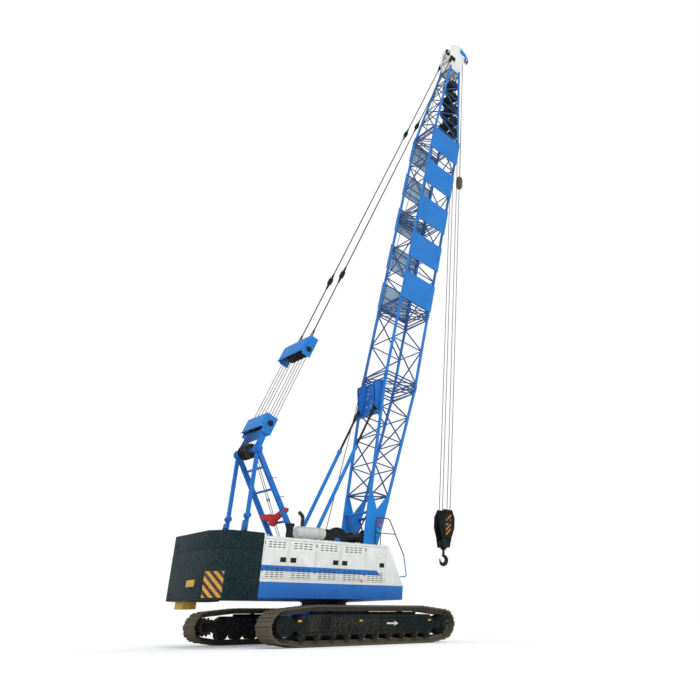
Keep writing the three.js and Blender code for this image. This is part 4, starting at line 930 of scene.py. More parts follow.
class CRANE_OT_boom(bpy.types.Operator):
    """Lattice boom: tubular chords, lacing, cross members, pinned joints and foot plates"""
    bl_idname = "crane.boom"
    bl_label = "Boom"

    def execute(self, context):
        sizes = context.scene.crane_sizes
        a, b, c, tip = JOINTS_AT
        for number, (s0, s1, bays) in enumerate(((a, b, 2), (b, c, 3), (c, tip, 3)), 1):
            self.insert(f"boom_insert_{number}", s0, s1, bays, sizes)
        self.foot(sizes)
        self.tip(sizes)
        return {"FINISHED"}

    def insert(self, node, s0, s1, bays, sizes):
        begin(f"{node}_chords")
        for sy, sz in CORNERS:
            tube(corner(s0 + 0.0005, sy, sz), corner(s1 - 0.0005, sy, sz), sizes.chord, 20)
        done("boom", "boom_paint", replaces=(node,))
        begin(f"{node}_lacing")
        for s in (s0 + 0.09, s0 + 0.21, s1 - 0.21, s1 - 0.09):
            boom_ring(s, sizes.lace, braced=True)
        first, last = s0 + 0.21, s1 - 0.21
        boom_lacing(first, last, bays, sizes.lace)
        for i in range(1, bays):
            boom_ring(first + (last - first) * i / bays, sizes.lace * 0.85)
        done("boom", "lacing_paint")
        begin(f"{node}_joint")
        pin_joint(s0, sizes.chord)
        done("boom", "blue_paint", bevel=0.003)

    def foot(self, sizes):
        end = JOINTS_AT[0]
        begin("boom_foot_chords")
        for sy, sz in CORNERS:
            tube(corner(2.95, sy, sz), corner(end - 0.12, sy, sz), sizes.chord, 20)
            tube(corner(end - 0.13, sy, sz), corner(end - 0.0005, sy, sz), sizes.chord, 20)
            bpy.ops.mesh.primitive_uv_sphere_add(segments=20, ring_count=10, radius=sizes.chord,
                                                 location=corner(end - 0.125, sy, sz))
        done("boom", "boom_paint")
        begin("boom_foot_lacing")
        boom_ring(3.13, sizes.lace * 1.2, braced=True)
        for s in (end - 0.21, end - 0.09):
            boom_ring(s, sizes.lace, braced=True)
        boom_lacing(3.13, end - 0.21, 4, sizes.lace)
        for i in range(1, 4):
            boom_ring(3.13 + (end - 0.21 - 3.13) * i / 4, sizes.lace * 0.85)
        for z in (-1, 1):
            tube(boom_at(1.0, -0.66, 0.0), boom_at(2.42, 0.66, z * 0.29), sizes.lace, 10)
            tube(boom_at(1.0, 0.66, 0.0), boom_at(2.42, -0.66, z * 0.29), sizes.lace, 10)
        done("boom", "lacing_paint")
        self.foot_plates()
        self.stop_bracket()
        begin("boom_foot_lamps")
        for i, s in enumerate((2.05, 2.25)):
            turned([(0.0, 0), (0.05, 0), (0.05, 0.05), (0.03, 0.07), (0.0, 0.072)],
                   boom_at(s, -0.74, -0.20), (0, -1, 0),
                   20)
        done("boom", "red_lens")
        begin("boom_foot_lamp_green")
        turned([(0.0, 0), (0.05, 0), (0.05, 0.05), (0.03, 0.07), (0.0, 0.072)], boom_at(1.85, -0.74, -0.20),
               (0, -1, 0),
               20)
        done("boom", "green_lens")

    def foot_plates(self):
        """The deep plates at the foot, with the cross tubes between them."""
        deep = half_depth(3.15)
        shape = [(0.19 * math.cos(math.radians(a)), 0.19 * math.sin(math.radians(a)))
                 for a in range(90, 271, 15)]
        shape += [(1.4, -0.29), (2.45, -0.388), (3.15, -deep - 0.058), (3.15, -deep + 0.058), (2.56, 0),
                  (3.15, deep - 0.058), (3.15, deep + 0.058), (2.45, 0.388), (1.4, 0.29)]
        begin("boom_foot_plates")
        for side in (-1, 1):
            outline([boom_at(s, side * HALF - 0.03, z) for s, z in shape], (0, 0.06, 0))
            for face in (-1, 1):
                y = side * HALF + face * 0.031
                turned([(0.066, 0), (0.15, 0), (0.14, 0.016), (0.066, 0.016)], boom_at(0, y, 0),
                       (0, face, 0), 32)
                bar(boom_at(0.25, y, 0), boom_at(2.2, y, 0), 0.012, 0.05)
        for s, z, r in ((0.9, 0, 0.07), (1.61, 0.12, 0.044), (2.42, 0.29, 0.048), (2.42, -0.29, 0.048)):
            tube(boom_at(s, -HALF, z), boom_at(s, HALF, z), r, 20)
        done("boom", "boom_paint", bevel=0.005,
             replaces=("boom_foot_section",))

    def stop_bracket(self):
        """The drilled plate and ears on the rear face that take the backstop rods."""
        def rear(s):
            return half_depth(6.7) + (s - 6.705) * (half_depth(7.33) - half_depth(6.08)) / 1.25
        begin("stop_bracket_plate")
        outline([boom_at(s, -0.442, rear(s) + z) for s, z in
                 ((6.08, -0.012), (7.33, -0.012), (7.33, 0.012), (6.08, 0.012))], (0, 0.884, 0))
        plate = bpy.context.object
        bpy.ops.object.mode_set(mode="OBJECT")
        begin("stop_bracket_drills")
        for s in (6.26, 6.44, 6.62, 6.80, 6.98, 7.16):
            for y in (-0.27, 0.0, 0.27):
                tube(boom_at(s, y, rear(s) - 0.1), boom_at(s, y, rear(s) + 0.1), 0.036, 14)
        bpy.ops.object.mode_set(mode="OBJECT")
        drills = bpy.context.object
        deselect()
        bpy.context.view_layer.objects.active = plate
        plate.select_set(True)
        modifier = plate.modifiers.new("Drilled", "BOOLEAN")
        modifier.operation, modifier.object, modifier.solver = "DIFFERENCE", drills, "EXACT"
        bpy.ops.object.modifier_apply(modifier=modifier.name)
        bpy.data.objects.remove(drills)
        bpy.ops.object.mode_set(mode="EDIT")
        done("boom", "blue_paint", piece=plate)
        begin("stop_bracket_ears")
        low = half_depth(6.34)
        shape = [(6.06, rear(6.06) - 0.03), (7.35, rear(7.35) - 0.03), (7.35, rear(7.35) + 0.07),
                 (7.18, 1.0),
                 (7.06, 1.0), (6.48, 0.83), (6.29, 0.83), (6.18, low + 0.06)]
        for side in (-1, 1):
            for face in (-1, 1):
                y = side * 0.5 + face * 0.062
                outline([boom_at(s, y - 0.008, z) for s, z in shape], (0, 0.016, 0))
                ends = sorted((y, y - face * 0.026))
                tube(boom_at(6.34, ends[0], 0.76), boom_at(6.34, ends[1], 0.76), 0.040, 20)
                tube(boom_at(6.34, y + face * 0.006, 0.76), boom_at(6.34, y + face * 0.022, 0.76), 0.055, 6)
        for s in (6.08, 7.33):
            tube(corner(s, -1, 1), corner(s, 1, 1), 0.042, 16)
        done("boom", "blue_paint", bevel=0.003)

    def tip(self, sizes):
        tip = JOINTS_AT[3]
        begin("boom_tip_chords")
        for sy, sz in CORNERS:
            tube(corner(tip + 0.0005, sy, sz), corner(24.9, sy, sz), sizes.chord * 0.95, 20)
        done("boom", "boom_paint", replaces=("boom_tip_section",))
        begin("boom_tip_lacing")
        for s in (tip + 0.09, tip + 0.21):
            boom_ring(s, sizes.lace, braced=True)
        boom_ring(24.7, sizes.lace)
        boom_lacing(tip + 0.21, 24.7, 5, sizes.lace)
        for i in range(1, 5):
            boom_ring(tip + 0.21 + (24.7 - tip - 0.21) * i / 5, sizes.lace * 0.85)
        done("boom", "lacing_paint")
        begin("boom_tip_joint")
        pin_joint(tip, sizes.chord)
        done("boom", "blue_paint", bevel=0.003)
        self.head()
        self.rollers()

    def head(self):
        shape = [(24.76, -0.28), (25.45, -0.33), (25.80, -0.52), (26.18, -0.60), (26.42, -0.47),
                 (26.47, 0.06),
                 (26.20, 0.44), (25.90, 0.45), (25.30, 0.43), (24.76, 0.29)]
        begin("boom_head_plates")
        for side in (-1, 1):
            outer, inner = side * 0.345, side * 0.315
            outline([boom_at(s, inner, z) for s, z in shape], (0, outer - inner, 0))
            for s, z, r in ((26.05, -0.35, 0.11), (26.08, 0.33, 0.10), (25.48, 0.33, 0.10),
                            (25.5, -0.12, 0.09)):
                start = boom_at(s, outer - side * 0.002, z)
                turned([(0.0, 0), (r, 0), (r, 0.012), (r * 0.6, 0.02), (r * 0.6, 0.034), (0.0, 0.034)],
                       start,
                       (0, side, 0), 24)
            points = shape + shape[:1]
            for (s0, z0), (s1, z1) in zip(points, points[1:]):
                pull = 0.985
                bar(boom_at(25.6 + (s0 - 25.6) * pull, outer, z0 * pull),
                    boom_at(25.6 + (s1 - 25.6) * pull, outer, z1 * pull), 0.03, 0.02)
        for s, z, r in ((26.05, -0.35, 0.045), (26.08, 0.33, 0.05), (25.48, 0.33, 0.05),
                        (25.5, -0.12, 0.05)):
            tube(boom_at(s, -0.33, z), boom_at(s, 0.33, z), r, 20)
        for s0, s1, z in ((24.78, 25.25, 0.29), (24.78, 25.3, -0.27)):
            bar(boom_at(s0, 0, z), boom_at(s1, 0, z * 1.05), 0.62, 0.014)
        done("boom", "cream_paint", bevel=0.004)
        begin("pendant_lugs")
        for side in (-1, 1):
            y = side * 0.40
            base = [boom_at(25.30, y - 0.012, 0.12), boom_at(25.50, y - 0.012, 0.12)]
            arch = [boom_at(25.40 + 0.085 * math.cos(math.pi * i / 10), y - 0.012,
                            0.35 + 0.085 * math.sin(math.pi * i / 10)) for i in range(11)]
            outline(base + arch, (0, 0.024, 0))
            block_at = boom_at(25.40, side * 0.372, 0.18)
            bar(block_at - (boom_at(1, 0, 0) - FOOT) * 0.09, block_at + (boom_at(1, 0, 0) - FOOT) * 0.09,
                0.056, 0.1)
            tube(boom_at(25.40, y - 0.055, 0.35), boom_at(25.40, y + 0.055, 0.35), 0.028, 14)
        done("boom", "dark_paint", bevel=0.003)
        begin("head_front_guard")
        arc = [(26.50 - 0.10 * i / 7 - 0.42 * (i / 7) ** 2, -0.10 - 0.60 * math.sin(math.pi / 2 * i / 7))
               for i in range(8)]
        for i, ((s0, z0), (s1, z1)) in enumerate(zip(arc, arc[1:])):
            for y, wide in ((0, 0.72),) if i < 3 else ((-0.27, 0.18), (0.27, 0.18)):
                bar(boom_at(s0, y, z0), boom_at(s1, y, z1), wide, 0.012)
        inside = [(25.84 + (s - 25.84) * 0.52, -0.14 + (z + 0.14) * 0.52) for s, z in arc]
        for side in (-1, 1):
            outline([boom_at(s, side * 0.357, z) for s, z in arc + inside[::-1]], (0, -side * 0.01, 0))
        done("boom", "boom_paint", bevel=0.002)
        begin("head_marker_lamp")
        turned([(0.0, 0), (0.055, 0), (0.055, 0.04), (0.035, 0.075), (0.0, 0.08)],
               boom_at(25.86, -0.36, -0.50),
               (0, -1, 0), 24)
        done("boom", "red_lens")

    def rollers(self):
        """Dark deflector rollers one above another behind the front face of the tip section."""
        begin("tip_deflector_rollers")
        for i in range(5):
            s = 20.97 + 0.75 * i
            front = half_depth(s) + (0.19 - 0.035 * i)
            radius = 0.25
            centre = boom_at(s, 0, -(front - radius))
            half = half_width(s) - 0.10
            turned([(0.04, -half), (radius * 0.9, -half), (radius, -half + 0.03), (radius, -half + 0.12),
                    (radius * 0.88, -half + 0.15), (radius * 0.88, half - 0.15), (radius, half - 0.12),
                    (radius, half - 0.03), (radius * 0.9, half), (0.04, half)], centre, steps=28)
            tube(centre + Vector((0, -half - 0.08, 0)), centre + Vector((0, half + 0.08, 0)), 0.035, 10)
        done("boom", "dark_paint")


class CRANE_OT_boards(bpy.types.Operator):
    """Plain boards on both sides of the boom, on rails clamped to the chords"""
    bl_idname = "crane.boards"
    bl_label = "Boom boards"

    def execute(self, context):
        start, pitch, long = 10.98, 1.985, 1.24
        face = HALF + 0.058 * math.cos(math.pi / 6) + 0.0003
        half = DEPTH + 0.058
        end = min(start + 4 * pitch + long, JOINTS_AT[3])
        for name, side in SIDES:
            begin(f"{name}_boards_sheets")
            for i in range(5):
                s0, s1 = start + i * pitch, min(start + i * pitch + long, end)
                y0, y1 = sorted((side * (face + 0.03), side * (face + 0.033)))
                outline([boom_at(s, y0, z) for s, z in ((s0, -half), (s1, -half), (s1, half), (s0, half))],
                        (0, y1 - y0, 0))
            done("boom", "boom_paint", replaces=(f"{name}_boards",))
            begin(f"{name}_boards_backing")
            for i in range(5):
                s0, s1 = start + i * pitch + 0.01, min(start + i * pitch + long, end) - 0.01
                y0, y1 = sorted((side * (face + 0.0292), side * (face + 0.0299)))
                edge = half - 0.01
                outline([boom_at(s, y0, z) for s, z in ((s0, -edge), (s1, -edge), (s1, edge), (s0, edge))],
                        (0, y1 - y0, 0))
            done("boom", "board_backing")
            begin(f"{name}_boards_frames")
            for z in (-(half - 0.09), half - 0.09):
                y = side * (face + 0.015)
                bar(boom_at(start, y, z), boom_at(end, y, z), 0.028, 0.045)
                for i in range(5):
                    for s in (start + i * pitch + 0.14, start + i * pitch + long - 0.16):
                        for face_shift in (-0.02, 0.02):
                            tube(boom_at(s + face_shift, side * (HALF - 0.075), z),
                                 boom_at(s + face_shift, side * (face + 0.02), z), 0.006, 6)
            for i in range(5):
                s0, s1 = start + i * pitch, min(start + i * pitch + long, end)
                for s in (s0 + 0.02, (s0 + s1) / 2, s1 - 0.02):
                    y = side * (face + 0.016)
                    bar(boom_at(s, y, -half + 0.01), boom_at(s, y, half - 0.01), 0.026, 0.026)
            done("boom", "lacing_paint", bevel=0.002)
        return {"FINISHED"}


# ------------------------------------------------------------------ sheaves, drums and roof fittings
def sheave_at(centre, y, radius, groove, bore, axis=(0, 1, 0)):
    """One grooved rope sheave with a dished web."""
    half = 0.023
    middle = centre + Vector(axis).normalized() * y
    turned([(bore, -0.02), (bore + 0.045, -0.02), (bore + 0.055, -0.008), (groove - 0.03, -0.008),
            (groove - 0.018, -half), (radius, -half), (radius - 0.002, -half + 0.005), (groove, -0.008),
            (groove, 0.008),
            (radius - 0.002, half - 0.005), (radius, half), (groove - 0.018, half), (groove - 0.03, 0.008),
            (bore + 0.055, 0.008), (bore + 0.045, 0.02), (bore, 0.02)], middle, axis, 48)


def sheave_set(name, node, body, centre, count, radius, pitch, bore, groove):
    begin(name)
    low = -(count - 1) / 2 * pitch
    for i in range(count):
        sheave_at(centre, low + i * pitch, radius, groove, bore)
    for i in range(count - 1):
        middle = centre + Vector((0, low + (i + 0.5) * pitch, 0))
        turned([(bore, -pitch / 2 + 0.021), (bore + 0.02, -pitch / 2 + 0.021),
                (bore + 0.02, pitch / 2 - 0.021),
                (bore, pitch / 2 - 0.021)], middle, steps=24)
    done(body, "dark_iron", replaces=(node,))


def winch(name, centre, flange, core, half, rope, bore=0.0603):
    """A rope drum: bolted flanges and rope laid on the core, layer on layer."""
    body = f"{name}_drum"
    begin(f"{name}_drum_body")
    edge = 0.026
    turned([(bore, -half), (flange - 0.03, -half), (flange, -half + 0.006), (flange, -half + edge - 0.006),
            (flange - 0.02, -half + edge), (core, -half + edge), (core, half - edge),
            (flange - 0.02, half - edge),
            (flange, half - edge + 0.006), (flange, half - 0.006), (flange - 0.03, half), (bore, half)],
            centre,
           steps=64)
    for side in (-1, 1):
        for i in range(12):
            a = math.tau * i / 12
            spot = centre + Vector((math.cos(a) * flange * 0.72, side * (half - 0.001),
                                    math.sin(a) * flange * 0.72))
            tube(spot, spot + Vector((0, side * 0.006, 0)), 0.016, 6)
    done(body, "dark_paint", replaces=(body,))
    begin(f"{name}_drum_rope")
    wound = core + 0.30 * (flange - core)
    turns = int((2 * (half - edge)) / (rope * 2.05))
    profile = [(core + 0.0005, -half + edge + 0.001)]
    for i in range(turns):
        y = -half + edge + 0.001 + rope * 2.05 * (i + 0.5)
        profile += [(wound, y - rope * 0.95), (wound + rope * 0.75, y - rope * 0.45),
                    (wound + rope * 0.75, y + rope * 0.45),
                    (wound, y + rope * 0.95)]
    profile += [(core + 0.0005, half - edge - 0.001)]
    turned(profile, centre, steps=48)
    done(body, "wire_rope")


DRUMS = {"front": ((0.06, 3.18), 0.47, 0.30, 0.33, 0.013), "rear": ((-0.75, 2.33), 0.33, 0.22, 0.33, 0.013),
         "luffing": ((-1.62, 2.25), 0.30, 0.19, 0.30, 0.010)}


class CRANE_OT_winches(bpy.types.Operator):
    """Hoist and boom drums with their rope, and the boom's guide drum"""
    bl_idname = "crane.winches"
    bl_label = "Winches"

    def execute(self, context):
        for name, ((x, z), flange, core, half, rope) in DRUMS.items():
            winch(name, at(x, 0, z), flange, core, half, rope)
        centre = boom_at(1.61, 0, 0.12)
        begin("boom_guide_drum_body")
        turned([(0.0453, -0.42), (0.21, -0.42), (0.23, -0.41), (0.23, -0.395), (0.16, -0.37), (0.15, -0.30),
                (0.15, 0.30),
                (0.16, 0.37), (0.23, 0.395), (0.23, 0.41), (0.21, 0.42), (0.0453, 0.42)], centre, steps=48)
        done("boom_guide_drum", "dark_iron", replaces=("boom_guide_drum",))
        begin("winch_motors")
        for (x, z), side in (((0.06, 3.18), 1), ((-0.75, 2.33), 1), ((-1.62, 2.25), -1)):
            end = at(x, side * 0.39, z)
            long = 1.0 if side < 0 else 0.12
            turned([(0.0, 0), (0.13, 0), (0.13, 0.06 * long), (0.10, 0.08 * long), (0.10, 0.20 * long),
                    (0.07, 0.23 * long), (0.0, 0.23 * long)], end, (0, side, 0), 28)
            for i in range(8):
                a = math.tau * i / 8
                spot = end + Vector((math.cos(a) * 0.115, side * 0.06 * long, math.sin(a) * 0.115))
                tube(spot, spot + Vector((0, side * 0.01, 0)), 0.010, 6)
        done("upper_structure", "dark_iron")
        return {"FINISHED"}


class CRANE_OT_roof_fittings(bpy.types.Operator):
    """Exhaust muffler, intake stack and front handrail"""
    bl_idname = "crane.roof_fittings"
    bl_label = "Roof fittings"

    def execute(self, context):
        begin("muffler_body")
        turned([(0.0, 0), (0.12, 0), (0.165, 0.012), (0.18, 0.035), (0.18, 0.30), (0.184, 0.31),
                (0.184, 0.34), (0.18, 0.35),
                (0.18, 0.66), (0.184, 0.67), (0.184, 0.70), (0.18, 0.71), (0.18, 0.955), (0.165, 0.978),
                (0.12, 0.99),
                (0.0, 0.99)], at(-1.85, -1.0, 3.29), (1, 0, 0), 48)
        for x in (-1.60, -1.08):
            bar(at(x, -1.0, 3.022), at(x, -1.0, 3.13), 0.22, 0.07)
            bar(at(x - 0.06, -1.0, 3.03), at(x + 0.06, -1.0, 3.03), 0.30, 0.014)
            turned([(0.181, -0.02), (0.187, -0.02), (0.187, 0.02), (0.181, 0.02)], at(x, -1.0, 3.29),
                   (1, 0, 0), 48)
        done("upper_structure", "silver_paint", bevel=0.002,
             replaces=("muffler",))
        begin("exhaust_pipe")
        path([at(-1.64, -1.0, 3.40), at(-1.64, -1.0, 3.74), at(-1.68, -1.0, 3.81), at(-1.79, -1.0, 3.90)],
             0.055, 20)
        done("upper_structure", "dark_iron")
        begin("intake_cap")
        turned([(0.0, 0), (0.13, 0), (0.13, 0.02), (0.097, 0.03), (0.095, 0.29), (0.105, 0.33),
                (0.138, 0.42),
                (0.138, 0.47), (0.12, 0.47), (0.10, 0.40), (0.0, 0.40)], at(-2.15, -1.18, 3.0213),
                (0, 0, 1), 40)
        turned([(0.096, 0), (0.104, 0), (0.104, 0.03), (0.096, 0.03)], at(-2.15, -1.18, 3.15), (0, 0, 1),
               40)
        done("upper_structure", "black_rubber", replaces=("intake_stack",))
        begin("front_handrail")
        y = -0.9
        rail = [at(1.20, y, 3.02), at(1.20, y, 3.99), at(1.25, y, 4.03), at(1.68, y, 4.03),
                at(1.76, y, 3.99),
                at(2.45, y, 2.83), at(2.60, y, 2.19), at(2.57, y, 2.12), at(1.80, y, 2.08)]
        path(rail[:6], 0.017, 12)
        tube(at(1.20, y, 3.52), at(2.03, y, 3.52), 0.014, 12)
        tube(at(1.42, y, 2.70), at(1.42, y, 3.52), 0.014, 12)
        tube(at(1.20, y, 3.021), at(1.20, y, 3.036), 0.045, 12)
        done("upper_structure", "dark_paint")
        begin("handrail_foot")
        path(rail[5:], 0.017, 12)
        done("upper_structure", "boom_paint")
        return {"FINISHED"}


# ------------------------------------------------------------------ cab
class CRANE_OT_cab(bpy.types.Operator):
    """Cab shell, door, glazing with its seals, wiper and mirror, and the operator's seat"""
    bl_idname = "crane.cab"
    bl_label = "Cab"

    def execute(self, context):
        softened("cab_shell", "upper_structure", "ivory_paint", 0.012)
        softened("cab_door", "cab_door", "ivory_paint", 0.006)
        paint("cab_front_glass", "cab_glass")
        self.glazing()
        self.fittings()
        self.seat()
        return {"FINISHED"}

    def glazing(self):
        inner, outer = 0.835, 1.74
        begin("cab_side_panes")
        block((SLEW_X + 0.562, SLEW_X + 1.718), (inner + 0.018, inner + 0.024), (2.262, 2.978))
        block((SLEW_X + 0.338, SLEW_X + 0.344), (inner + 0.132, outer - 0.132), (2.322, 2.958))
        block((SLEW_X + 1.702, SLEW_X + 1.878), (outer - 0.024, outer - 0.018), (2.262, 2.898))
        block((SLEW_X + 2.118, SLEW_X + 2.124), (inner + 0.132, outer - 0.132), (1.642, 2.088))
        block((SLEW_X + 0.902, SLEW_X + 1.498), (inner + 0.182, outer - 0.182), (3.148, 3.154))
        done("upper_structure", "cab_glass")
        begin("cab_door_pane")
        high = 3.18 - 0.17 - 0.006
        block((SLEW_X + 0.788, SLEW_X + 1.552), (outer - 0.028, outer - 0.022),
              (high - 0.778, high - 0.092))
        done("cab_door", "cab_glass")
        begin("cab_seals")
        rings = [((0.56, 1.72), (2.26, 2.98), inner - 0.004), ((1.70, 1.88), (2.26, 2.90), outer + 0.004)]
        for (x0, x1), (z0, z1), y in rings:
            path([at(x0, y, z0), at(x1, y, z0), at(x1, y, z1), at(x0, y, z1), at(x0, y, z0)], 0.010, 8)
        rear = [at(0.316, inner + 0.13, 2.32), at(0.316, outer - 0.13, 2.32), at(0.316, outer - 0.13, 2.96),
                at(0.316, inner + 0.13, 2.96)]
        path(rear + rear[:1], 0.010, 8)
        low = [at(2.154, inner + 0.13, 1.64), at(2.154, outer - 0.13, 1.64), at(2.154, outer - 0.13, 2.09),
               at(2.154, inner + 0.13, 2.09)]
        path(low + low[:1], 0.010, 8)
        slope = 0.24 / 1.0
        front = [at(2.154 - slope * (z - 2.18), y, z) for y, z in
                 ((inner + 0.09, 2.23), (outer - 0.09, 2.23), (outer - 0.09, 3.04),
                  (inner + 0.09, 3.04))]
        path(front + front[:1], 0.011, 8)
        done("upper_structure", "black_rubber")

    def fittings(self):
        outer = 1.74
        begin("cab_wiper")
        foot = at(2.165 - 0.24 * (2.27 - 2.18), 1.28, 2.27)
        tip = at(2.17 - 0.24 * (2.82 - 2.18), 1.05, 2.82)
        tube(foot - Vector((0.02, 0, 0)), foot + Vector((0.012, 0, 0)), 0.022, 16)
        tube(foot, tip, 0.006, 8)
        bar(at(2.168 - 0.24 * (2.60 - 2.18), 1.13, 2.60), at(2.168 - 0.24 * (2.99 - 2.18), 0.98, 2.99),
            0.012, 0.022)
        done("upper_structure", "black_rubber")
        begin("cab_roof_and_steps")
        for y in (0.87, 1.70):
            bar(at(0.34, y, 3.186), at(1.88, y, 3.186), 0.02, 0.012)
        for z in (1.50, 1.72):
            bar(at(0.75, outer + 0.012, z), at(1.10, outer + 0.012, z), 0.03, 0.018)
        path([at(1.66, outer - 0.005, 1.75), at(1.66, outer + 0.05, 1.78), at(1.66, outer + 0.05, 2.75),
              at(1.66, outer - 0.005, 2.78)], 0.012, 12)
        path([at(2.02, outer - 0.01, 2.72), at(2.10, outer + 0.16, 2.74), at(2.10, outer + 0.16, 2.70)],
             0.010, 10)
        block((SLEW_X + 2.085, SLEW_X + 2.115), (outer + 0.08, outer + 0.24), (2.42, 2.72))
        turned([(0.0, 0), (0.05, 0), (0.055, 0.02), (0.055, 0.10), (0.035, 0.13), (0.0, 0.135)],
               at(1.7, 1.55, 3.18),
               (0, 0, 1), 24)
        done("upper_structure", "dark_paint", bevel=0.003)
        begin("cab_door_fittings")
        block((SLEW_X + 1.50, SLEW_X + 1.60), (outer - 0.001, outer + 0.012), (2.06, 2.12))
        path([at(1.56, outer, 1.92), at(1.56, outer + 0.035, 1.93), at(1.56, outer + 0.035, 2.02),
              at(1.56, outer, 2.03)],
             0.008, 10)
        high = 3.18 - 0.17 - 0.006
        path([at(0.786, outer + 0.003, high - 0.78), at(1.554, outer + 0.003, high - 0.78),
              at(1.554, outer + 0.003, high - 0.09), at(0.786, outer + 0.003, high - 0.09),
              at(0.786, outer + 0.003, high - 0.78)], 0.009, 8)
        done("cab_door", "black_rubber", bevel=0.001)

    def seat(self):
        y, floor = 1.2875, 1.4906
        cushion = self.pad("seat_cushion", (0.50, 0.50, 0.13), 0.020)
        self.settle(cushion, at(0.89, y, floor + 0.395), 0)
        back = self.pad("seat_back", (0.12, 0.46, 0.62), 0.018)
        self.settle(back, at(0.63, y, floor + 0.70), math.atan2(0.12, 0.60))
        begin("seat_base")
        block((SLEW_X + 0.72, SLEW_X + 1.06), (y - 0.19, y + 0.19), (floor + 0.002, floor + 0.16))
        block((SLEW_X + 0.68, SLEW_X + 1.10), (y - 0.22, y + 0.22), (floor + 0.27, floor + 0.33))
        for x in (0.76, 1.02):
            for side in (-1, 1):
                bar(at(x, y + side * 0.15, floor + 0.15), at(1.78 - x, y + side * 0.15, floor + 0.28), 0.02,
                    0.03)
        block((SLEW_X + 1.35, SLEW_X + 1.47), (y - 0.19, y + 0.19), (floor + 0.002, floor + 0.70))
        block((SLEW_X + 1.32, SLEW_X + 1.49), (y - 0.21, y + 0.21), (floor + 0.70, floor + 0.76))
        for side in (-1, 1):
            bar(at(0.75, y + side * 0.27, floor + 0.55), at(1.15, y + side * 0.27, floor + 0.55), 0.07,
                0.06)
            tube(at(1.10, y + side * 0.27, floor + 0.58), at(1.12, y + side * 0.27, floor + 0.72), 0.012,
                 10)
            bpy.ops.mesh.primitive_uv_sphere_add(segments=14, ring_count=8, radius=0.026,
                                                 location=at(1.12, y + side * 0.27, floor + 0.74))
        done("upper_structure", "black_rubber", bevel=0.008)

    def pad(self, name, size, crown):
        """A crowned pad with a seam round it: sides pull in between the corners."""
        piece = begin(name)
        bpy.ops.mesh.primitive_cube_add(size=1, scale=size)
        bpy.ops.mesh.subdivide(number_cuts=8)
        form = bmesh.from_edit_mesh(piece.data)
        thin = min(range(3), key=lambda i: size[i])
        for vert in form.verts:
            share = [2 * vert.co[i] / size[i] for i in range(3)]
            others = [i for i in range(3) if i != thin]
            fall = (1 - share[others[0]] ** 4) * (1 - share[others[1]] ** 4)
            vert.co[thin] *= 0.72 + 0.28 * fall
            vert.co[thin] += math.copysign(crown * 0.3 * fall, share[thin])
            for i, j in (others, others[::-1]):
                vert.co[i] *= 1 - 0.05 * (1 - share[j] ** 2) * abs(share[i]) - 0.03 * (1 - share[thin] ** 2)
        bmesh.update_edit_mesh(piece.data)
        return piece

    def settle(self, piece, place, tilt):
        bpy.ops.mesh.select_all(action="SELECT")
        bpy.ops.object.mode_set(mode="OBJECT")
        turn = Matrix.Translation(place) @ Matrix.Rotation(-tilt, 4, "Y")
        piece.data.transform(turn)
        modifier = piece.modifiers.new("Soft", "SUBSURF")
        modifier.levels = modifier.render_levels = 1
        bpy.ops.object.modifier_apply(modifier=modifier.name)
        bpy.ops.object.mode_set(mode="EDIT")
        done("upper_structure", "seat_fabric", angle=60, piece=piece,
             replaces=("operator_seat",) if piece.name == "seat_cushion" else ())


# ------------------------------------------------------------------ gantry, stay and backstops
GANTRY_PIN = (-3.21, 5.75)
STAY_ANGLE = 70.578
# Along the stay from the gantry pin: sheave centres, link plates and the pendants' ends.
BLOCK_AT, BRIDLE_AT = 0.93, 3.90
LINK_PLATES = (7.56, 16.78)
PENDANT_FROM, PENDANT_TO = 4.5603, 22.502


def stay_at(x, y, z):
    """A point of the boom stay: x along it from the gantry pin, z towards its rear."""
    a = math.radians(STAY_ANGLE)
    return at(GANTRY_PIN[0] + x * math.cos(a) - z * math.sin(a), y,
              GANTRY_PIN[1] + x * math.sin(a) + z * math.cos(a))


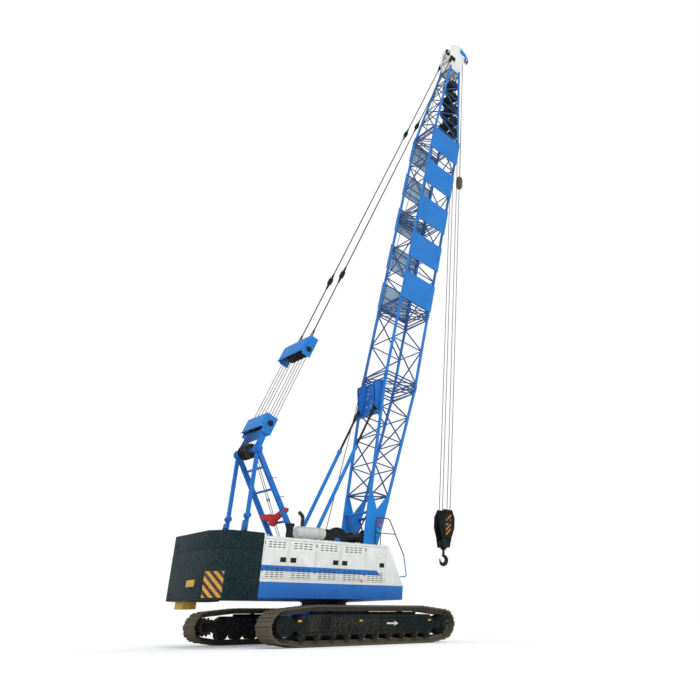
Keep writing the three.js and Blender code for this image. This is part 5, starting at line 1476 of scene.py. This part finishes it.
class CRANE_OT_gantry(bpy.types.Operator):
    """Gantry with its sheaves, knee pins and cross members, and the cloth tied round its legs"""
    bl_idname = "crane.gantry"
    bl_label = "Gantry"

    def execute(self, context):
        softened("gantry", "upper_structure", "blue_paint", 0.008)
        centre = at(GANTRY_PIN[0], 0, GANTRY_PIN[1])
        sheave_set("gantry_sheave_set", "gantry_sheaves", "gantry_sheaves", centre, 4, 0.24, 0.12, 0.0603,
                   0.205)
        begin("gantry_fittings")
        for side in (-1, 1):
            for x, z, y, r in ((-3.26, 3.70, 0.62, 0.085), (-3.21, 5.75, 0.695, 0.10)):
                start = at(x, side * y, z)
                for face in (-1, 1):
                    out = start + Vector((0, face * 0.062, 0))
                    turned([(0.0, 0), (r, 0), (r, 0.014), (r * 0.6, 0.022), (0.0, 0.022)], out,
                           (0, face, 0), 24)
            bar(at(-3.30, side * 0.62, 3.55), at(-3.32, side * 0.62, 3.20), 0.115, 0.115)
            for z in (2.03, 2.07):
                for x in (-3.35, -3.23):
                    tube(at(x, side * 0.655, z), at(x, side * 0.668, z), 0.016, 6)
            for z in (2.6, 2.95, 3.30, 4.0, 4.35, 4.9):
                t = (5.75 - z) / 3.77
                x = -3.21 + t * 2.19
                y = side * (0.635 + t * 0.045)
                tube(at(x - 0.03, y + side * 0.06, z), at(x - 0.03, y + side * 0.15, z), 0.009, 8)
                tube(at(x - 0.03, y + side * 0.15, z), at(x + 0.16, y + side * 0.15, z), 0.009, 8)
                tube(at(x + 0.16, y + side * 0.15, z), at(x + 0.16, y + side * 0.06, z), 0.009, 8)
        done("upper_structure", "blue_paint", bevel=0.003)
        self.rag()
        return {"FINISHED"}

    def rag(self):
        """A cloth wrapped round the cross member and knotted, with a tail."""
        begin("gantry_cloth")
        centre = at(-2.10, 0, 3.86)
        tube(centre + Vector((0, -0.67, 0.10)), centre + Vector((0, -0.10, -0.10)), 0.085, 18, 0.12)
        tube(centre + Vector((0, 0.67, 0.02)), centre + Vector((0, 0.02, -0.08)), 0.090, 18, 0.13)
        for y, z in ((-0.66, 0.10), (0.66, 0.02)):
            bpy.ops.mesh.primitive_uv_sphere_add(segments=16, ring_count=10, radius=0.125,
                                                 location=centre + Vector((0, y, z)), scale=(1, 1, 0.75))
        bpy.ops.mesh.primitive_uv_sphere_add(segments=20, ring_count=12, radius=0.17,
                                             location=centre + Vector((0, -0.02, -0.17)),
                                             scale=(0.75, 1.1, 1))
        piece = bpy.context.object
        bpy.ops.object.mode_set(mode="OBJECT")
        for kind, name in (("REMESH", "Cloth skin"), ("DISPLACE", "Folds")):
            modifier = piece.modifiers.new(name, kind)
            if kind == "REMESH":
                modifier.mode, modifier.voxel_size = "VOXEL", 0.014
            else:
                folds = bpy.data.textures.new("folds", "CLOUDS")
                folds.noise_scale = 0.11
                modifier.texture, modifier.strength, modifier.mid_level = folds, 0.045, 0.55
            bpy.ops.object.modifier_apply(modifier=modifier.name)
        bpy.ops.object.mode_set(mode="EDIT")
        done("upper_structure", "red_rag", angle=50, piece=piece)


class CRANE_OT_stay(bpy.types.Operator):
    """Boom hoist blocks, bridle and the pendant ropes with their sockets and link plates"""
    bl_idname = "crane.stay"
    bl_label = "Boom stay"

    def execute(self, context):
        softened("gantry_block", "gantry_block", "boom_paint", 0.006)
        softened("bridle", "bridle", "boom_paint", 0.006)
        for node, x in (("block_sheaves", BLOCK_AT), ("bridle_sheaves", BRIDLE_AT)):
            sheave_set(f"{node}_set", node, node, stay_at(x, 0, 0), 4, 0.21, 0.24, 0.0503, 0.18)
        for body, x, half in (("gantry_block", BLOCK_AT, 0.64), ("bridle", BRIDLE_AT, 0.75)):
            begin(f"{body}_fittings")
            for side in (-1, 1):
                out = stay_at(x, side * (half - 0.001), 0)
                turned([(0.0, 0), (0.10, 0), (0.10, 0.015), (0.06, 0.03), (0.0, 0.03)], out, (0, side, 0),
                       28)
                for z in (-0.10, 0.10):
                    spot = stay_at(x + (0.2 if body == "bridle" else -0.2), side * (half - 0.001), z)
                    tube(spot, spot + Vector((0, side * 0.014, 0)), 0.018, 6)
            for y in (-0.36, 0.0, 0.36):
                tube(stay_at(x - 0.20, y - 0.1, 0.145), stay_at(x - 0.20, y + 0.1, 0.145), 0.012, 8)
            done(body, "dark_iron", bevel=0.003)
        for body, x0, x1, half in (("gantry_block", 0.70, 1.20, 0.64), ("bridle", 3.68, 4.26, 0.75)):
            begin(f"{body}_cover")
            bar(stay_at(x0, 0, 0.236), stay_at(x1, 0, 0.236), 2 * half, 0.012)
            bar(stay_at(x0, 0, 0.236), stay_at(x0 - 0.03, 0, 0.285), 2 * half, 0.012)
            for side in (-1, 1):
                y = side * (half - 0.008)
                outline([stay_at(x, y, z) for x, z in ((x0, 0.10), (x1, 0.10), (x1, 0.236), (x0, 0.236))],
                        (0, side * 0.014, 0))
            done(body, "boom_paint", bevel=0.003)
        self.pendants()
        return {"FINISHED"}

    def pendants(self):
        start, end = PENDANT_FROM, PENDANT_TO
        root = end - 0.33
        for name, side in SIDES:
            y = side * 0.40
            begin(f"{name}_pendant_rope")
            stops = [start + 0.30]
            stops += [s for at_plate in LINK_PLATES for s in (at_plate - 0.30, at_plate + 0.30)]
            stops += [root - 0.2]
            for a, b in zip(stops[::2], stops[1::2]):
                tube(stay_at(a, y, 0), stay_at(b, y, 0), 0.021, 12)
            done("bridle", "wire_rope", replaces=(f"{name}_pendant",))
            begin(f"{name}_pendant_sockets")
            ends = [(start + 0.02, start + 0.33), (root, root - 0.26)]
            ends += [(at_plate + shift * 0.12, at_plate + shift * 0.40) for at_plate in LINK_PLATES
                     for shift in (-1, 1)]
            for thick_end, thin_end in ends:
                tube(stay_at(thick_end, y, 0), stay_at(thin_end, y, 0), 0.050, 18, 0.028)
            for plate_at in LINK_PLATES:
                for face in (-1, 1):
                    outline([stay_at(plate_at + x, y + face * 0.028 - 0.007, z) for x, z in
                             ((-0.17, -0.05), (-0.10, -0.075), (0.10, -0.075), (0.17, -0.05),
                              (0.17, 0.05), (0.10, 0.075), (-0.10, 0.075), (-0.17, 0.05))],
                            (0, 0.014, 0))
                    for x in (-0.10, 0.10):
                        spot = stay_at(plate_at + x, y + face * 0.035, 0)
                        tube(spot, spot + Vector((0, face * 0.02, 0)), 0.030, 12)
            for face in (-1, 1):
                y0 = y + face * 0.0203 - 0.008
                outline([stay_at(root + x, y0, z) for x, z in
                         ((-0.02, -0.06), (0.33, -0.07), (0.385, -0.05), (0.405, 0.0), (0.385, 0.05),
                          (0.33, 0.07), (-0.02, 0.06))], (0, 0.016, 0))
            done("bridle", "dark_paint", bevel=0.003)
            begin(f"{name}_pendant_ends")
            tube(stay_at(start, y, 0), stay_at(start + 0.14, y, 0), 0.054, 18)
            tube(stay_at(root - 0.34, y, 0), stay_at(root - 0.22, y, 0), 0.032, 14)
            done("bridle", "orange_paint", bevel=0.003)


STOP_BASE, STOP_ANGLE, STOP_LONG = (-1.33, 2.20), 67.755, 6.451


def stop_at(x, y, z):
    """A point of a backstop: x along it from its lower pin."""
    a = math.radians(STOP_ANGLE)
    return at(STOP_BASE[0] + x * math.cos(a) - z * math.sin(a), y,
              STOP_BASE[1] + x * math.sin(a) + z * math.cos(a))


class CRANE_OT_backstops(bpy.types.Operator):
    """The two telescopic backstops behind the boom"""
    bl_idname = "crane.backstops"
    bl_label = "Boom backstops"

    def execute(self, context):
        axis = stop_at(1, 0, 0) - stop_at(0, 0, 0)
        for name, side in SIDES:
            y = side * 0.5
            begin(f"{name}_backstop_barrel")
            turned([(0.0405, 0.12), (0.062, 0.12), (0.062, 4.50), (0.076, 4.52), (0.076, 4.64),
                    (0.070, 4.652),
                    (0.0405, 4.652)], stop_at(0, y, 0), axis, 28)
            outline([stop_at(x, y - 0.055, z) for x, z in
                     ((0.15, -0.055), (0.15, 0.055), (0.0, 0.074), (-0.053, 0.053), (-0.074, 0),
                      (-0.053, -0.053), (0.0, -0.074))], (0, 0.11, 0))
            for x in (1.2, 2.9):
                turned([(0.0615, x - 0.02), (0.068, x - 0.015), (0.068, x + 0.015), (0.0615, x + 0.02)],
                       stop_at(0, y, 0), axis, 28)
            done(f"{name}_backstop_tube", "boom_paint", bevel=0.002,
                 replaces=(f"{name}_backstop_tube",))
            begin(f"{name}_backstop_ram")
            turned([(0.0, 2.5), (0.040, 2.5), (0.040, 5.90), (0.050, 5.91), (0.050, 5.93), (0.0, 5.93)],
                   stop_at(0, y, 0), axis, 24)
            steps, turns, rise = 12, 9, 0.36
            coil = [stop_at(5.94 + rise * i / (steps * turns), y + 0.058 * math.cos(math.tau * i / steps),
                            0.058 * math.sin(math.tau * i / steps)) for i in range(steps * turns + 1)]
            for a, b in zip(coil, coil[1:]):
                tube(a, b, 0.011, 6)
            tube(stop_at(5.92, y, 0), stop_at(6.40, y, 0), 0.030, 16)
            turned([(0.0, 0), (0.070, 0), (0.070, 0.03), (0.0, 0.03)], stop_at(6.30, y, 0), axis, 24)
            turned([(0.041, -0.03), (0.072, -0.03), (0.072, 0.03), (0.041, 0.03)], stop_at(STOP_LONG, y, 0),
                   steps=28)
            done(f"{name}_backstop_rod", "dark_iron", bevel=0.0,
                 replaces=(f"{name}_backstop_rod",))
        return {"FINISHED"}


# ------------------------------------------------------------------ ropes
TIP = (5.059, 27.514)
BLOCK_Z = 4.33
FALL_REACH, FALL_Y = 0.200, 0.095


class CRANE_OT_ropes(bpy.types.Operator):
    """Hoist falls, the hoist rope up the boom, the boom hoist rope and the limit weight"""
    bl_idname = "crane.ropes"
    bl_label = "Ropes"

    def execute(self, context):
        sizes = context.scene.crane_sizes
        self.falls(sizes.hoist_rope)
        self.hoist_line(sizes.hoist_rope)
        self.boom_hoist(sizes.luff_rope)
        return {"FINISHED"}

    def falls(self, radius):
        for name, side in SIDES:
            y = side * FALL_Y
            begin(f"{name}_fall_ropes")
            for shift in (-FALL_REACH, FALL_REACH):
                tube(at(TIP[0] + shift, y, TIP[1]), at(TIP[0] + shift, y, BLOCK_Z), radius, 12)
            for z, low in ((BLOCK_Z, -1), (TIP[1], 1)):
                arc = [at(TIP[0] + FALL_REACH * math.cos(math.pi * i / 20), y,
                          z + low * FALL_REACH * math.sin(math.pi * i / 20)) for i in range(21)]
                path(arc, radius, 12, ball=False)
            span = ("hoist_falls", "hook_block", at(TIP[0], 0, TIP[1] - 0.1), at(TIP[0], 0, BLOCK_Z + 0.05))
            done(span, "wire_rope", replaces=(f"{name}_hoist_falls",))
        begin("limit_weight")
        turned([(0.0137, 0), (0.08, 0), (0.13, 0.07), (0.15, 0.16), (0.15, 0.31), (0.142, 0.32),
                (0.142, 0.35),
                (0.15, 0.36), (0.15, 0.50), (0.12, 0.60), (0.05, 0.65), (0.0137, 0.65)],
               at(TIP[0] + FALL_REACH, -FALL_Y, 19.88), (0, 0, 1), 32)
        done("hoist_falls", "muddy_steel", replaces=("hoist_limit_weight",))
        begin("limit_line")
        tube(at(TIP[0] + FALL_REACH, -FALL_Y - 0.06, 20.52),
             at(TIP[0] + 0.12, -FALL_Y - 0.06, TIP[1] - 0.28), 0.005, 8)
        tube(at(TIP[0] + FALL_REACH, -FALL_Y - 0.075, 20.50),
             at(TIP[0] + FALL_REACH, -FALL_Y - 0.045, 20.55), 0.012, 8)
        done("hoist_falls", "wire_rope")

    def hoist_line(self, radius):
        """From the front drum to the guide sheave on the back of the boom head."""
        begin("hoist_line")
        leaves, lift = math.radians(125), 0.378
        drum = at(DRUMS["front"][0][0] + lift * math.cos(leaves), 0.05,
                  DRUMS["front"][0][1] + lift * math.sin(leaves))
        guide = boom_at(26.04, 0.05, 0.33 + 0.15)
        tube(drum, guide, radius, 12)
        done(("upper_structure", "boom", drum, guide), "wire_rope")
        begin("head_guide_sheave")
        sheave_at(boom_at(26.08, 0, 0.33), 0.05, 0.16, 0.135, 0.0503)
        done("boom", "dark_iron")
        begin("head_rope")
        over = [boom_at(26.08 + 0.15 * math.cos(math.radians(a)), 0.05,
                        0.33 + 0.15 * math.sin(math.radians(a)))
                for a in (100, 80, 60, 40, 20, 5)]
        path(over + [boom_at(26.05 + 0.2, 0.09, -0.30)], radius, 10)
        done("boom", "wire_rope")

    def boom_hoist(self, radius):
        begin("boom_hoist_falls")
        for y in (-0.36, -0.12, 0.12, 0.36):
            for z in (-0.19, 0.19):
                tube(stay_at(BLOCK_AT, y, z), stay_at(BRIDLE_AT, y, z), radius, 10)
            for x, way in ((BLOCK_AT, -1), (BRIDLE_AT, 1)):
                arc = [stay_at(x + way * 0.19 * math.sin(math.pi * i / 14), y,
                               0.19 * math.cos(math.pi * i / 14))
                       for i in range(15)]
                path(arc, radius, 10, ball=False)
        span = ("gantry_block", "bridle", stay_at(1.15, 0, 0), stay_at(3.65, 0, 0))
        done(span, "wire_rope")
        begin("boom_hoist_lead")
        for y in (-0.06, 0.06):
            low = at(DRUMS["luffing"][0][0] + 0.20, y, DRUMS["luffing"][0][1] + 0.04)
            high = at(GANTRY_PIN[0] + 0.20, y, GANTRY_PIN[1] + 0.06)
            tube(low, high, radius, 10)
            for share in (0.42, 0.58):
                spot = low.lerp(high, share)
                run = (high - low).normalized() * 0.05
                tube(spot - run, spot + run, radius * 2.2, 10)
            arc = [at(GANTRY_PIN[0] + 0.213 * math.cos(a), y, GANTRY_PIN[1] + 0.213 * math.sin(a))
                   for a in (math.radians(15 + 17 * i) for i in range(6))]
            path(arc, radius, 10, ball=False)
        done("upper_structure", "wire_rope")
        begin("gantry_to_block_rope")
        for y in (-0.18, -0.06, 0.06, 0.18):
            for z in (-0.213, 0.213):
                tube(stay_at(0.0, y, z), stay_at(BLOCK_AT, y * 1.05 if abs(y) < 0.1 else y, z * 0.9),
                     radius, 8)
        done("gantry_block", "wire_rope")


# ------------------------------------------------------------------ hook block
class CRANE_OT_hook_block(bpy.types.Operator):
    """Hook block with its sheaves and stripes, and the forged swivel hook with its nut and a small cross pin
    """
    bl_idname = "crane.hook_block"
    bl_label = "Hook block"

    def execute(self, context):
        softened("hook_block", "hook_block", "dark_paint", 0.010)
        centre = at(TIP[0], 0, BLOCK_Z)
        groove = FALL_REACH - 0.0133
        sheave_set("hook_sheave_set", "hook_sheaves", "hook_sheaves", centre, 2, 0.225, 2 * FALL_Y, 0.0453,
                   groove)
        sheave_set("tip_sheave_set", "tip_sheaves", "tip_sheaves", at(TIP[0], 0, TIP[1]), 2, 0.225,
                   2 * FALL_Y, 0.0453,
                   groove)
        begin("hook_block_stripes")
        for side in (-1, 1):
            y = side * 0.2515
            for i in range(4):
                z = BLOCK_Z - 0.54 + 0.18 * i
                wide = 0.12
                bar(at(TIP[0] - wide, y, z), at(TIP[0] + wide, y, z + wide * 2), 0.006, 0.06)
        done("hook_block", "orange_paint")
        begin("hook_block_fittings")
        for side in (-1, 1):
            for x, z, r in ((0, 0, 0.085), (0, 0.38, 0.045), (-0.19, -0.72, 0.028), (0.19, -0.72, 0.028)):
                out = at(TIP[0] + x, side * (0.189 if z else 0.2505), BLOCK_Z + z)
                turned([(0.0, 0), (r, 0), (r, 0.014), (r * 0.55, 0.026), (0.0, 0.026)], out, (0, side, 0),
                       24)
        turned([(0.05, 0), (0.12, 0), (0.12, 0.03), (0.095, 0.05), (0.05, 0.05)], at(TIP[0], 0, 3.275),
               (0, 0, 1), 32)
        done("hook_block", "dark_iron", bevel=0.003)
        self.hook()
        return {"FINISHED"}

    def hook(self):
        middle = at(TIP[0], 0, 2.86)
        begin("forged_hook")
        reach = 0.160
        points = [(middle + Vector((0, 0, 0.62)), 0.045), (middle + Vector((0, 0, 0.26)), 0.047)]
        for i in range(21):
            a = math.radians(88 + (356 - 88) * i / 20)
            share = i / 20
            thick = along(share, ((0, 0.050), (0.3, 0.075), (0.55, 0.082), (0.8, 0.060), (1.0, 0.026)))
            points.append((middle + Vector((-reach * math.cos(a), 0, reach * math.sin(a))), thick))
        tail = points[-1][0] + Vector((-0.03, 0, 0.055))
        points.append((tail, 0.014))
        for (a, ra), (b, rb) in zip(points, points[1:]):
            tube(a, b, ra, 20, rb)
            bpy.ops.mesh.primitive_uv_sphere_add(segments=20, ring_count=12, radius=rb, location=b)
        piece = bpy.context.object
        bpy.ops.object.mode_set(mode="OBJECT")
        for kind in ("REMESH", "SMOOTH"):
            modifier = piece.modifiers.new("Forging", kind)
            if kind == "REMESH":
                modifier.mode, modifier.voxel_size = "VOXEL", 0.007
            else:
                modifier.iterations, modifier.factor = 6, 0.6
            bpy.ops.object.modifier_apply(modifier=modifier.name)
        bpy.ops.object.mode_set(mode="EDIT")
        turned([(0.0, 0), (0.078, 0), (0.085, 0.012), (0.085, 0.06), (0.075, 0.075), (0.0, 0.075)],
               at(TIP[0], 0, 3.235), (0, 0, 1), 6)
        tube(middle + Vector((-0.03, -0.035, 0.20)), middle + Vector((-0.03, 0.035, 0.20)), 0.014, 12)
        done("hook", "dark_iron", angle=50, replaces=("hook",), piece=piece)


# ------------------------------------------------------------------ stage
class CRANE_OT_stage(bpy.types.Operator):
    """Pale floor, soft light, white surroundings and the camera"""
    bl_idname = "crane.stage"
    bl_label = "Stage"

    def execute(self, context):
        scene = context.scene
        deselect()
        bpy.ops.mesh.primitive_plane_add(size=900, location=(0, 0, -0.002))
        floor = context.object
        floor.name = "floor"
        material = bpy.data.materials.new("pale_floor")
        material.use_nodes = True
        tree = material.node_tree
        shader = tree.nodes["Principled BSDF"]
        shader.inputs["Base Color"].default_value = (0.86, 0.86, 0.86, 1)
        shader.inputs["Roughness"].default_value = 0.9
        shader.inputs["Emission Color"].default_value = (1, 1, 1, 1)
        ray = tree.nodes.new("ShaderNodeLightPath").outputs
        seen = maths(tree, "MAXIMUM", ray["Is Camera Ray"], ray["Is Transmission Ray"])
        tree.links.new(maths(tree, "MULTIPLY", seen, 0.18), shader.inputs["Emission Strength"])
        floor.data.materials.append(material)

        world = scene.world or bpy.data.worlds.new("Surroundings")
        scene.world = world
        world.use_nodes = True
        tree = world.node_tree
        tree.nodes.clear()
        soft = put(tree, "ShaderNodeBackground", {"Color": (0.96, 0.98, 1, 1), "Strength": 0.70})
        white = put(tree, "ShaderNodeBackground", {"Color": (1, 1, 1, 1), "Strength": 1.0})
        ray = tree.nodes.new("ShaderNodeLightPath").outputs
        seen = maths(tree, "MAXIMUM", ray["Is Camera Ray"], ray["Is Transmission Ray"])
        mix = put(tree, "ShaderNodeMixShader", links={0: seen, 1: soft.outputs[0], 2: white.outputs[0]})
        out = tree.nodes.new("ShaderNodeOutputWorld")
        tree.links.new(mix.outputs[0], out.inputs["Surface"])

        for name, power, size, turn in (("Key light", 1.25, 25, (48, 0, -18)),
                                        ("Fill light", 0.45, 60, (62, 0, -130))):
            lamp = bpy.data.lights.new(name, "SUN")
            lamp.energy, lamp.angle = power, math.radians(size)
            light = bpy.data.objects.new(name, lamp)
            light.rotation_euler = [math.radians(angle) for angle in turn]
            scene.collection.objects.link(light)

        scene.view_settings.view_transform = "Standard"
        self.camera(scene)
        return {"FINISHED"}

    def camera(self, scene):
        yaw, pitch, roll = (math.radians(angle) for angle in (41.882, 20.14, -0.736))
        ahead = Vector((math.cos(yaw), math.sin(yaw), 0))
        level = Vector((math.sin(yaw), -math.cos(yaw), 0))
        forward = ahead * math.cos(pitch) + Vector((0, 0, math.sin(pitch)))
        lifted = level.cross(forward)
        right = level * math.cos(roll) + lifted * math.sin(roll)
        up = lifted * math.cos(roll) - level * math.sin(roll)
        lens = bpy.data.cameras.new("Camera")
        lens.lens, lens.sensor_width = 35.09, 36
        lens.shift_x, lens.shift_y = -0.2571, 0.0286
        lens.clip_start, lens.clip_end = 0.1, 2000
        camera = bpy.data.objects.new("Camera", lens)
        turn = Matrix((right, up, -forward)).transposed().to_4x4()
        camera.matrix_world = Matrix.Translation(at(-12.972, -20.808, 0.633)) @ turn
        scene.collection.objects.link(camera)
        scene.camera = camera


# ------------------------------------------------------------------ add-on
OPERATORS = (CRANE_OT_stage, CRANE_OT_tracks, CRANE_OT_undercarriage, CRANE_OT_house,
             CRANE_OT_counterweight,
             CRANE_OT_cab, CRANE_OT_gantry, CRANE_OT_stay, CRANE_OT_backstops, CRANE_OT_winches,
             CRANE_OT_roof_fittings, CRANE_OT_boom, CRANE_OT_boards, CRANE_OT_ropes, CRANE_OT_hook_block)


class CRANE_PT_panel(bpy.types.Panel):
    """Lists the crane's pieces in the order in which they are made"""
    bl_label = "Crawler crane"
    bl_space_type = "VIEW_3D"
    bl_region_type = "UI"
    bl_category = "Crane"

    def draw(self, context):
        for settings in (context.scene.crane_paint, context.scene.crane_sizes):
            for name in settings.bl_rna.properties.keys():
                if name not in ("rna_type", "name"):
                    self.layout.prop(settings, name)
        for operator in OPERATORS:
            self.layout.operator(operator.bl_idname)


CLASSES = (CranePaint, CraneSizes, *OPERATORS, CRANE_PT_panel)


def register():
    for kind in CLASSES:
        bpy.utils.register_class(kind)
    bpy.types.Scene.crane_paint = PointerProperty(type=CranePaint)
    bpy.types.Scene.crane_sizes = PointerProperty(type=CraneSizes)


def unregister():
    del bpy.types.Scene.crane_sizes
    del bpy.types.Scene.crane_paint
    for kind in reversed(CLASSES):
        bpy.utils.unregister_class(kind)


def main():
    register()
    build_materials()
    for operator in OPERATORS:
        group_name, name = operator.bl_idname.split(".")
        getattr(getattr(bpy.ops, group_name), name)()
    deselect()


if __name__ == "__main__":
    main()
